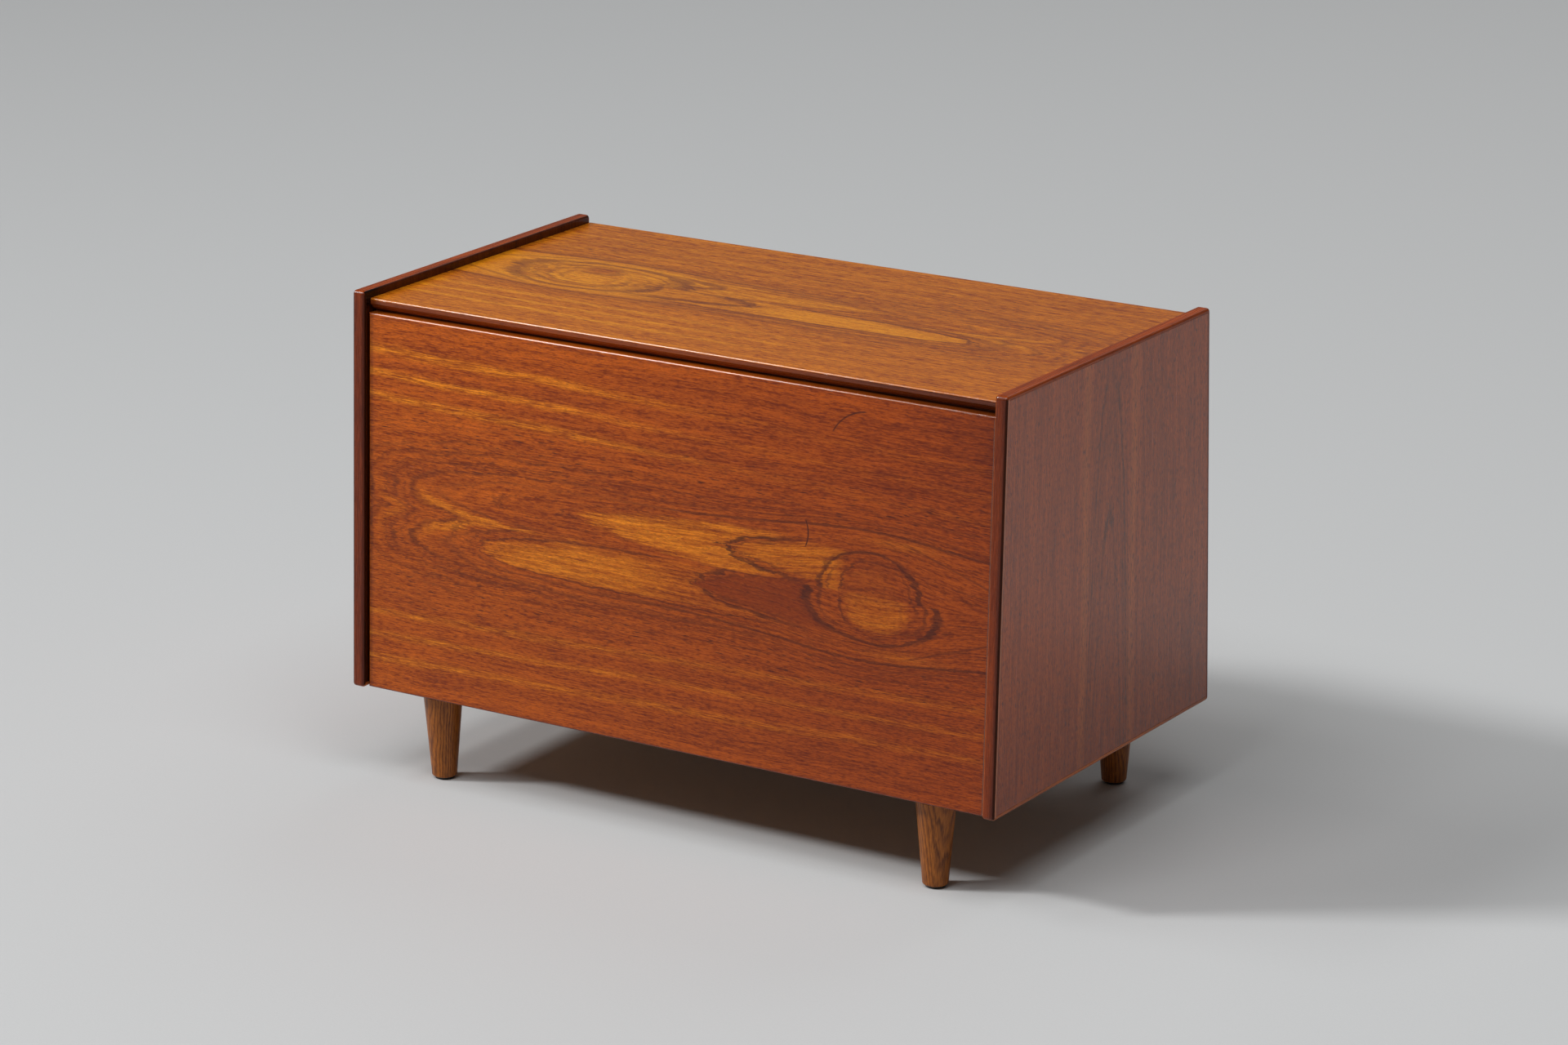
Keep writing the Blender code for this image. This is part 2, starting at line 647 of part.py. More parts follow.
def make_leg(name, place):
    foot = GLIDE_THICK + GAP
    top = BASE_Z - GAP
    bolt_foot = BASE_Z - BOLT_IN_LEG
    stem_top = GLIDE_THICK + STEM_LENGTH
    round_start = foot + LEG_FOOT_ROUND
    profile = [
        (0, bolt_foot - GAP),
        (BOLT_RADIUS + GAP, bolt_foot - GAP),
        (BOLT_RADIUS + GAP, top),
        (LEG_TOP_RADIUS - LEG_SHOULDER, top),
        (LEG_TOP_RADIUS, top - LEG_SHOULDER_HEIGHT),
        (LEG_FOOT_RADIUS, round_start),
        (LEG_FOOT_RADIUS - LEG_FOOT_ROUND, foot),
        (STEM_RADIUS + GAP, foot),
        (STEM_RADIUS + GAP, stem_top + GAP),
        (0, stem_top + GAP),
    ]
    # The bolt's socket is open at the top, so its wall runs upwards before the outer side runs down
    turned(f"leg_{name}", profile, OAK, place)
    rod(f"leg_bolt_{name}", BOLT_RADIUS, bolt_foot, BASE_Z + BOLT_IN_INSERT, STEEL, place)
    bore = BOLT_RADIUS + GAP
    low = BASE_Z + GAP
    high = low + INSERT_LENGTH
    turned(
        f"leg_insert_{name}",
        [(INSERT_RADIUS, high), (INSERT_RADIUS, low), (bore, low), (bore, high)],
        STEEL,
        place,
        closed=True,
    )
    glide = [
        (0, stem_top),
        (STEM_RADIUS, stem_top),
        (STEM_RADIUS, GLIDE_THICK),
        (GLIDE_RADIUS, GLIDE_THICK),
        (GLIDE_RADIUS, 0),
        (0, 0),
    ]
    turned(f"leg_glide_{name}", glide, GLIDE_BLACK, place)


def build():
    hinge = pivot("flap_hinge", (0, HINGE_Y, HINGE_Z), -SLANT)
    shared = [make_top(), make_floor(), make_back()]
    make_flap(hinge)
    make_catch(hinge)
    make_shelf()
    for name, side in SIDES:
        own = [make_bush(name, side), make_stay(name, side, hinge), *make_pegs(name, side)]
        make_side(name, side, own + shared)
    for name, place in leg_places():
        make_leg(name, place)


build()
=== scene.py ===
"""Looks of the drop-front bar cabinet: its finishes, its refined pieces, the light and the camera."""

import functools
import json
import math

import bmesh
import bpy
from mathutils import Matrix, Vector


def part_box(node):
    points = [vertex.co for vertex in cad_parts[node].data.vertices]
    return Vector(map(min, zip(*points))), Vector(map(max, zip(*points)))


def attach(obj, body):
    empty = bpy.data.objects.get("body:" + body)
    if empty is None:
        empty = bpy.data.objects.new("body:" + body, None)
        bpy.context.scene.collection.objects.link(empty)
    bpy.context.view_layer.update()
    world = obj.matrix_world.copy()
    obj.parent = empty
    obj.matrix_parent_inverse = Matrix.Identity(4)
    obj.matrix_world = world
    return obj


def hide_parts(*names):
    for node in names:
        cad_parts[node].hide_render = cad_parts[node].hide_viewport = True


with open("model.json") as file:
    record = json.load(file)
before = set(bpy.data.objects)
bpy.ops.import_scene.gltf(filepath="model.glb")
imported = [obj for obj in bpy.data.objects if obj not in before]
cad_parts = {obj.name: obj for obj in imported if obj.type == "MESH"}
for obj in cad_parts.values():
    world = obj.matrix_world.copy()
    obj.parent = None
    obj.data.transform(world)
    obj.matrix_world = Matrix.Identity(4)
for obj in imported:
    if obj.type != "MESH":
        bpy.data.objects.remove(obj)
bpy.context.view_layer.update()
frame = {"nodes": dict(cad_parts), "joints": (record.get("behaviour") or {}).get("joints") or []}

# Case, in metres
FOOT_DEPTH = 0.478
SIDE_LEAN = 0.018  # how far the front and back edges lean in by the top
SIDE_LIP = 0.005
SIDE_ARRIS = 0.003
SIDE_CORNER = 0.0045
SEEN_SEAM = 0.00012  # half the gap between a side's board and its lippings
SHUT_SEAM = 0.00001  # half the gap where a joint can't be seen
FLAP_LIP = 0.005
FLAP_ARRIS = 0.0024
FLAP_FOOT_ROUND = 0.004482
STRIP_FACE = 0.006
STRIP_BEVEL = 0.007
STRIP_ARRIS = 0.0022
SMALL_ARRIS = 0.0006
LEG_SHOULDER = 0.006
LEG_SHOULDER_HEIGHT = 0.0045
LEG_FOOT_ROUND = 0.0022
GLIDE_ROUND = 0.0006
LEG_FOOT_RADIUS = 0.0143
LEG_EDGE_IN = 0.0006  # how the shoulder's edge is eased: inwards, above and below
LEG_EDGE_ABOVE = 0.0004
LEG_EDGE_BELOW = 0.0008

# Fittings inside, in metres
METAL_ARRIS = 0.0004
SLOT_ROOM = 0.0003
PLATE_THICK = 0.002
PLATE_CORNER = 0.005
RIVET_RADIUS = 0.0025
RIVET_HEAD = 0.001
RIVET_DOME = 0.0008
STUD_RADIUS = 0.003
STUD_COLLAR = 0.005
STUD_DOME = 0.0014
BRACKET_SCREW_SPREAD = 0.0145  # from the pivot
SHELF_ROUND = 0.0015
PEG_COLLAR = 0.0042
PEG_COLLAR_THICK = 0.0007
PEG_DOME = 0.0012
CATCH_ROUND = 0.0012
CATCH_SCREW_INSET = 0.0048
POLE_PROUD = 0.0005
POLE_SPREAD = 0.0026
POLE_THICK = 0.0016
POLE_ROUND = 0.00032
POLE_REACH = 0.36  # half a pole's length, as a share of the housing's
STRIKE_CORNER = 0.002
STRIKE_SCREW_INSET = 0.007
BACK_SCREWS = 5
BACK_SCREW_RISE = 0.005
BACK_SCREW_REACH = 0.9  # outermost screws, as a share of the half width
SCREWS = {  # the head's radius, its rise, and how far it is let in
    "bracket": (0.0034, 0.000952, 0.0008),
    "catch": (0.0026, 0.00078, 0.0008),
    "strike": (0.002, 0.0001, 0.0005),
    "back": (0.0034, 0.00085, 0.0008),
}
SCREW_SLOT = 0.14  # half a slot's width, as a share of the head's radius
SCREW_FLOOR = 0.97  # radius of the disc under the slot, as a share of the head's
SCREW_FLOOR_DEPTH = 0.5  # where that disc's face lies, as a share of how far the head is let in

# Steps of round shapes, and when a face or an edge counts as sharp, flat or facing one way
LEG_STEPS = 64
FITTING_STEPS = 48
ROUND_END_STEPS = 14
EYE_POINTS = 24
ARRIS_STEPS = 5
FINE_STEPS = 6
CATCH_STEPS = 4
SMALL_STEPS = 3
SHARP_EDGE = math.radians(40)
SHARP_SHADING = math.radians(32)
FACING = 0.9
FLAT = 0.985
MERGE = 1e-7
NODE_MERGE = 1e-6
NODE_FLAT = math.radians(1)

# Camera. The focal length is in pixels of a frame as wide as FRAME_WIDTH
CAMERA_AT = Vector((2.97732, -4.65822, 1.96188))
CAMERA_AIM = Vector((0.00694, 0.0, 0.30491))
CAMERA_FOCAL = 6327.6
FRAME_WIDTH = 1920
SENSOR = 36.0

# Studio
KEY_FROM = Vector((-0.705, -0.428, 0.566))  # towards the key light
KEY_STRENGTH = 1.60
KEY_SPREAD = math.radians(8)
PANELS = (  # name, place, width, length, power
    ("front_light", Vector((-0.5, -3.6, 6.3)), 3.2, 3.2, 138.0),
    ("left_light", Vector((-4.4, -2.5, 6.5)), 1.0, 5.0, 130.0),
    ("high_light", Vector((2.2, -1.5, 6.5)), 3.0, 3.0, 94.0),
    ("rear_light", Vector((0.0, 5.0, 6.0)), 5.0, 5.0, 58.0),
)
ROOM_LIGHT = 0.08
WALL_LIGHT = 0.14  # the far wall behind the case
WALL_WAY = Vector((-0.54, 0.84, 0.0))
WALL_BESIDE = (0.4, 0.9)  # cosines to its middle, where its light begins and is full
WALL_ABOVE = (0.75, 0.45)  # sines of the heights where its light ends and is still full
PAPER_REACH = 40.0
PAPER_TONE = (0.592, 0.602, 0.606)
PAPER_SHARES = (0.95, 1.05)  # of that tone, in the paper's darkest and lightest specks
PAPER_SPECK = 2.6  # in millimetres
PAPER_ROUGH = 0.75
PAPER_RELIEF = 0.12

# Roughness of the wood's finishes
LACQUER = 0.25
COAT_ROUGH = 0.12
EDGE_ROUGH = 0.27
ARRIS_ROUGH = 0.22
RECESS_ROUGH = 0.5
SHADED_ROUGH = 0.35
FLOOR_BOARD_ROUGH = 0.35
OAK_ROUGH = 0.38
PLY_ROUGH = 0.6

# Sizes of a streak of grain along the three axes, in millimetres
LIP_GRAIN_X = (60, 1.0, 1.0)
LIP_GRAIN_Y = (1.0, 60, 1.0)
LIP_GRAIN_Z = (1.0, 1.0, 60)
BOARD_GRAIN_X = (70, 1.3, 1.3)
BOARD_GRAIN_Z = (1.3, 1.3, 70)
PLY_GRAIN = (1.4, 1.4, 60)
FIGURE_GRAIN = (32, 1.3, 1.3)
SIDE_GRAIN = (58, 1.3, 1.3)
FLOOR_BAND = (210, 12, 12)
FLOOR_FACES = (110, 113)  # heights between which the floor board's finish changes
LONG_STREAK = 10  # sizes over this lie along the grain

# Dark and light tones of the wood
EDGE_TONES = ((0.105, 0.013, 0.002, 1), (0.26, 0.040, 0.004, 1))
CROWN_TONES = ((0.17, 0.023, 0.002, 1), (0.42, 0.070, 0.005, 1))
UNDER_TONES = ((0.28, 0.055, 0.006, 1), (0.55, 0.13, 0.012, 1))
# Near black, as painted shade on a front lipping's inner face beside the flap
RECESS_SHADE_TONES = ((0.020, 0.005, 0.002, 1), (0.055, 0.012, 0.004, 1))
# Painted shade for a front lipping's outer rounded edge
SHADED_TONES = ((0.022, 0.005, 0.002, 1), (0.060, 0.012, 0.003, 1))
OUTER_TONES = ((0.30, 0.060, 0.014, 1), (0.56, 0.150, 0.040, 1))
# Painted light: a lighter tone for the right side's inner front arris, which faces the key light
LIT_INNER_ARRIS_TONES = ((0.20, 0.038, 0.006, 1), (0.42, 0.090, 0.014, 1))
STRIP_TONES = ((0.15, 0.023, 0.003, 1), (0.33, 0.064, 0.007, 1))
# The rounded upper edges of the pull strip and the flap: the strip's carries the top's golden colour, and
# both are lightened as a painted highlight
STRIP_ARRIS_TONES = ((0.38, 0.08, 0.002, 1), (0.75, 0.22, 0.005, 1))
FLAP_ARRIS_TONES = ((0.33, 0.05, 0.003, 1), (0.62, 0.14, 0.006, 1))
PLAIN_TONES = ((0.22, 0.034, 0.004, 1), (0.46, 0.098, 0.008, 1))
SIDE_TONES = ((0.210, 0.031, 0.0045, 1), (0.51, 0.094, 0.011, 1))
FLOOR_UNDER_TONES = ((0.24, 0.090, 0.022, 1), (0.43, 0.190, 0.056, 1))
PLY_TONES = ((0.27, 0.100, 0.028, 1), (0.50, 0.235, 0.085, 1))
OAK_TONES = ((0.125, 0.030, 0.0035, 1), (0.46, 0.140, 0.016, 1))
PORE_BROWN = (0.080, 0.015, 0.004, 1)
OAK_PORE = (0.07, 0.020, 0.005, 1)
SIDE_GOLD = (0.54, 0.125, 0.016, 1)
SIDE_LINE_BROWN = (0.090, 0.018, 0.006, 1)
# Painted reflection on the sides: darker near the foot, where the shadowed floor is mirrored, lighter towards
# the top
SIDE_FOOT_PAINTED_SHADE = (0.82, 0.76, 0.72, 1)
SIDE_CROWN_PAINTED_SHEEN = (1.10, 1.08, 1.06, 1)

# Painted shade, where a finish darkens: the axis, its start and its full place along it, in millimetres, and
# the tone
# Painted shade across each side's front edge, darker towards the right, on the half turned from the key light
FRONT_PAINTED_SHADES = {
    "left": ("x", -410, -403, (0.38, 0.31, 0.27, 1)),
    "right": ("x", 411, 419, (0.42, 0.36, 0.28, 1)),
}
# Painted shade on the sides' inner faces, darker towards the front, in the recess beside the flap
RECESS_PAINTED_SHADE = ("y", -175, -200, (0.16, 0.13, 0.12, 1))
# Painted shade on the inner faces above the top board
ABOVE_TOP_PAINTED_SHADE = ("z", 538, 546, (0.26, 0.24, 0.24, 1))
# Painted shade on the pull strip's face and the flap's upper arris, darker towards the right, away from the
# lights
STRIP_PAINTED_SHADE = ("x", 20, 400, (0.42, 0.36, 0.42, 1))

# Figure of the flap's and the top's veneer, in millimetres from the middle of the board and from its seam
FLAP_SEAM = 320.0  # height of the flap's seam
TOP_SEAM = 7.0  # depth of the top's seam
HALF_LENGTH = 430
HALF_BREADTH = 220
KNOT_ALONG = 256
ARCH_START = -395
ARCH_REACH = 150
ARCH_BREADTH = 52
RING_AXIS = 28
TONGUE_MIDDLE = 29.0
TONGUE_POINT = 1.7
LEAF_LENGTH = 90.0
LEAF_POINT = 1.3
SKEW = 0.72  # how much slower a tongue thins out towards the seam than away from it
RIBBONS = ((123, 5.5), (150, 5), (177, 6))  # distance from the seam, and half width
KNOT_RINGS = ((13, 0.7), (21, 0.55), (30, 0.5))  # depth inside the knot's outline, and strength
ARCH_LINES = ((27, 0.55), (53, 0.6), (62, 0.5))  # ring, and strength
SIDE_LINES = ((30, 0.85), (37, 0.5), (39.5, 0.6), (49, 0.5), (24, 0.5))  # the same for the sides
SCRATCH_WIDTH = 0.95
SCRATCH_AT = (178.5, 56)
SCRATCH_BOW = 0.016
SCRATCH_FOOT = (40, 44)  # where it fades in, and out
SCRATCH_HEAD = (73, 69)
ARC_CENTRE = (250, 149)
ARC_RADIUS = 49.5
ARC_RIGHT = (249, 244)
ARC_LOW = (171, 174)

# The two veneers' colours, then the strengths and sizes of their marks
FLAP_PALETTE = {
    "dark": (0.185, 0.023, 0.0015, 1),
    "light": (0.565, 0.112, 0.004, 1),
    "gold_low": (0.46, 0.098, 0.003, 1),
    "gold": (0.90, 0.295, 0.008, 1),
    "red": (0.21, 0.026, 0.002, 1),
    # low_end, high_end, under and over scale the colour along and across the board: partly the veneer's own
    # tone, partly painted light, lighter towards the lamps
    "low_end": (1.15, 1.17, 1.05, 1),
    "high_end": (0.77, 0.64, 0.70, 1),
    "under": (0.90, 0.88, 0.90, 1),
    "over": (1.06, 1.06, 1.06, 1),
    "around": 0.12,
    "line": (0.060, 0.012, 0.005, 1),
    "bold": 1.0,
    "line_width": 1.1,
    "knot_rings": 0.35,
    "ribbon_low": 1.0,
    "ribbon_high": 0.42,
    "knot_teeth": 11,
    "corner": (0.60, 0.52, 0.62, 1),
}
TOP_PALETTE = {
    "dark": (0.275, 0.043, 0.001, 1),
    "light": (0.77, 0.232, 0.004, 1),
    "gold_low": (0.60, 0.170, 0.003, 1),
    "gold": (0.90, 0.34, 0.006, 1),
    "red": (0.36, 0.070, 0.002, 1),
    # low_end, high_end, under and over scale the colour along and across the board: partly the veneer's own
    # tone, partly painted light, lighter towards the lamps
    "low_end": (0.94, 0.90, 0.95, 1),
    "high_end": (1.06, 1.08, 1.0, 1),
    "under": (1.05, 1.05, 1.05, 1),
    "over": (0.96, 0.95, 0.96, 1),
    "around": 0.75,
    "line": (0.165, 0.033, 0.008, 1),
    "bold": 1.7,
    "line_width": 2.3,
    "knot_rings": 1.0,
    "ribbon_low": 0.45,
    "ribbon_high": 0.75,
    "knot_teeth": 34,
    "corner": (1.0, 1.0, 1.0, 1),
}

# The figure along the seam: each measure for the leaf above the seam, and for the leaf below it
FLAP_FIGURE = {
    "tongue_tip": (-112, -252),
    "tongue_length": (300, 90),
    "tongue_half": (34, 22),
    "tongue_gold": (0.95, 0.68),
    "tongue_peak": (30, -130),
    "tongue_spread": (110, 130),
    "tongue_feather": (90, 22),
    "tongue_rim": (0.3, 0.7),
    "leaf_tip": (70, 32),
    "leaf_middle": (28, 22),
    "leaf_half": (26, 30),
    "leaf_gold": (0.62, 0.0),
    "leaf_red": (0.0, 0.62),
    "leaf_rim": (0.9, 0.75),
    "knot_at": (255, 259),
    "knot_middle": (5, 12),
    "knot_length": (62, 81),
    "knot_half": (43, 40),
    "crescent_gold": (0.7, 0.1),
    "core_at": (258, 266),
    "core_middle": (4, 13),
    "core_length": (40, 48),
    "core_half": (33, 31),
    "core_gold": (0.25, 0.5),
    "core_red": (0.18, 0.0),
}
TOP_FIGURE = {
    "tongue_tip": (-112, -262),
    "tongue_length": (300, 90),
    "tongue_half": (34, 22),
    "tongue_gold": (0.62, 0.9),
    "tongue_peak": (40, -140),
    "tongue_spread": (130, 180),
    "tongue_feather": (60, 18),
    "tongue_rim": (0.55, 0.85),
    "leaf_tip": (96, 26),
    "leaf_middle": (30, 20),
    "leaf_half": (26, 28),
    "leaf_gold": (0.62, 0.45),
    "leaf_red": (0.0, 0.1),
    "leaf_rim": (0.7, 0.9),
    "knot_at": (246, 256),
    "knot_middle": (6, 8),
    "knot_length": (112, 94),
    "knot_half": (48, 48),
    "crescent_gold": (0.7, 0.5),
    "core_at": (256, 258),
    "core_middle": (24, 8),
    "core_length": (25, 58),
    "core_half": (14, 34),
    "core_gold": (0.1, 0.8),
    "core_red": (0.5, 0.0),
}

SIDES = (("left", -1), ("right", 1))
ENDS = ("front", "back")
MM = 1000.0
LEG_X, LEG_Y, _ = (sum(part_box("leg_back_right"), Vector()) * MM / 2)


def tint(red, green, blue):
    """A colour given on the usual 0 to 255 scale, as the shader's linear values."""
    shares = [value / 255 for value in (red, green, blue)]
    linear = [share / 12.92 if share <= 0.04045 else ((share + 0.055) / 1.055) ** 2.4 for share in shares]
    return (*linear, 1.0)


class Grain:
    """A shader socket that Python arithmetic works on. Each operation adds its node."""

    def __init__(self, tree, socket):
        self.tree = tree
        self.socket = socket

    def make(self, kind, settings, sockets, output=0):
        """Any node: its type, its settings, its sockets' values or links, and the output to go on from."""
        node = self.tree.nodes.new(kind)
        for name, value in settings.items():
            setattr(node, name, value)
        for key, value in sockets.items():
            if isinstance(value, Grain):
                self.tree.links.new(value.socket, node.inputs[key])
            else:
                node.inputs[key].default_value = value
        return Grain(self.tree, node.outputs[output])

    def math(self, operation, *others):
        """A Math node on this value and others."""
        return self.make("ShaderNodeMath", {"operation": operation}, dict(enumerate((self, *others))))

    def __add__(self, other):
        return self.math("ADD", other)

    def __radd__(self, other):
        return self.math("ADD", other)

    def __sub__(self, other):
        return self.math("SUBTRACT", other)

    def __rsub__(self, other):
        return self.make("ShaderNodeMath", {"operation": "SUBTRACT"}, {0: other, 1: self})

    def __mul__(self, other):
        return self.math("MULTIPLY", other)

    def __rmul__(self, other):
        return self.math("MULTIPLY", other)

    def __truediv__(self, other):
        return self.math("DIVIDE", other)

    def __rtruediv__(self, other):
        return self.make("ShaderNodeMath", {"operation": "DIVIDE"}, {0: other, 1: self})

    def __abs__(self):
        return self.math("ABSOLUTE")

    def root(self):
        return self.math("SQRT")

    def most(self, other):
        return self.math("MAXIMUM", other)

    def bell(self, width):
        """1 where the value is 0, falling to nothing past the width."""
        share = self / width
        return (share * share * -1).math("EXPONENT")

    def line(self, width):
        """1 near 0, with crisp edges at about the width."""
        return abs(self).step(width, width * 0.35)

    def step(self, low, high):
        """0 below low, 1 above high, and a soft rise between. With low over high it falls."""
        settings = {"interpolation_type": "SMOOTHSTEP"}
        if low < high:
            return self.make("ShaderNodeMapRange", settings, {0: self, 1: low, 2: high})
        return self.make("ShaderNodeMapRange", settings, {0: self, 1: high, 2: low, 3: 1.0, 4: 0.0})

    def bands(self, width, seed, detail=2.0):
        """Soft random bands, about a width apart, that follow the value."""
        sockets = {"W": self / width + seed, "Scale": 1.0, "Detail": detail}
        return self.make("ShaderNodeTexNoise", {"noise_dimensions": "1D"}, sockets)

    def mix(self, first, second, blend="MIX"):
        """Two colours mixed, with this value as the share of the second."""
        settings = {"data_type": "RGBA", "blend_type": blend}
        return self.make("ShaderNodeMix", settings, {0: self, 6: first, 7: second}, 2)

    def times(self, tone):
        """This colour multiplied by another."""
        settings = {"data_type": "RGBA", "blend_type": "MULTIPLY"}
        return self.make("ShaderNodeMix", settings, {0: 1.0, 6: self, 7: tone}, 2)


class Finish:
    """A procedural material under way, with its place in millimetres and what several finishes share."""

    def __init__(self, name):
        self.material = bpy.data.materials.new(name)
        self.material.use_nodes = True
        self.shader = self.material.node_tree.nodes["Principled BSDF"]
        tree = self.material.node_tree
        start = Grain(tree, tree.nodes.new("ShaderNodeTexCoord").outputs["Object"])
        self.place = start.make("ShaderNodeVectorMath", {"operation": "SCALE"}, {0: start, "Scale": MM})
        self.x = self.axis(0)
        self.y = self.axis(1)
        self.z = self.axis(2)

    def axis(self, index):
        """One of the place's three coordinates."""
        return self.place.make("ShaderNodeSeparateXYZ", {}, {0: self.place}, index)

    def streaks(self, sizes, seed=0.0, detail=2.0):
        """Noise round 0 whose grains have these sizes along the three axes."""
        stretch = tuple(1 / size for size in sizes)
        settings = {"operation": "MULTIPLY_ADD"}
        where = self.place.make("ShaderNodeVectorMath", settings, {0: self.place, 1: stretch, 2: (seed,) * 3})
        sockets = {"Vector": where, "Scale": 1.0, "Detail": detail}
        return where.make("ShaderNodeTexNoise", {"noise_dimensions": "3D"}, sockets) - 0.5

    def close(self, colour, roughness, height=None, metallic=0.0, shine=0.5, coat=0.0):
        """The finished material. The height, in millimetres, gives its relief."""
        for name, value in {"Base Color": colour, "Roughness": roughness}.items():
            if isinstance(value, Grain):
                self.material.node_tree.links.new(value.socket, self.shader.inputs[name])
            else:
                self.shader.inputs[name].default_value = value
        self.shader.inputs["Metallic"].default_value = metallic
        self.shader.inputs["Specular IOR Level"].default_value = shine
        self.shader.inputs["Coat Weight"].default_value = coat
        self.shader.inputs["Coat Roughness"].default_value = COAT_ROUGH
        if height is not None:
            bump = height.make("ShaderNodeBump", {}, {"Height": height, "Distance": 1 / MM})
            self.material.node_tree.links.new(bump.socket, self.shader.inputs["Normal"])
        return self.material


def fibres(finish, grain):
    """Fine streaks, finer ones and pores, all drawn out along the grain."""
    fine = finish.streaks(grain, 3.1, 3.0)
    finest = finish.streaks([size * 0.45 for size in grain], 17.7, 2.0)
    pore = [size * (0.14 if size > LONG_STREAK else 0.40) for size in grain]
    pores = finish.streaks(pore, 41.3, 0.0).step(0.12, 0.22)
    return fine, finest, pores


def plain_tone(finish, band, fine, finest):
    """Straight bands of dark and light, from 0 to 1. The band gives their sizes along the three axes."""
    broad = finish.streaks(band, 5.5, 2.0)
    return (broad * 1.1 + fine * 1.0 + finest * 0.8 + 0.5).step(0.0, 1.0)


def straight_teak(name, grain, tones, rough=LACQUER, shine=0.38, coat=0.0, painted_shades=()):
    """Straight-grained wood for lippings, rails and plain boards."""
    finish = Finish(name)
    fine, finest, pores = fibres(finish, grain)
    band = [size * (3 if size > LONG_STREAK else 9) for size in grain]
    colour = plain_tone(finish, band, fine, finest).mix(*tones)
    colour = (pores * 0.6).mix(colour, PORE_BROWN)
    # Painted shade: each entry darkens the colour along one axis
    for axis, begins, full, full_tone in painted_shades:
        place = getattr(finish, axis)
        colour = place.step(begins, full).mix(colour, full_tone, "MULTIPLY")
    relief = pores * -0.03 + finest * 0.012
    return finish.close(colour, fine * 0.12 + rough, relief, shine=shine, coat=coat)


def strongest(marks):
    """The strongest of several marks at each place."""
    return functools.reduce(Grain.most, marks)


def tongue(along, across, tip, length, centre, half, point):
    """How far inside a tongue a place lies, in millimetres.

    Its tip is at its low end, and is sharp where point is near 1.
    """
    fade = ((tip - along) / length).math("EXPONENT")
    spread = (across - centre) / half
    spread = spread.most(spread * -SKEW)
    level = 1 - fade - spread.math("POWER", point)
    slope_along = fade / length
    slope_across = spread.math("POWER", point - 1) * (point / half)
    return level / (slope_along * slope_along + slope_across * slope_across).root()


def oval(along, across, at, centre, length, half):
    """How far inside an oval a place lies, in millimetres."""
    far = (along - at) / length
    wide = (across - centre) / half
    return (1 - (far * far + wide * wide).root()) * half


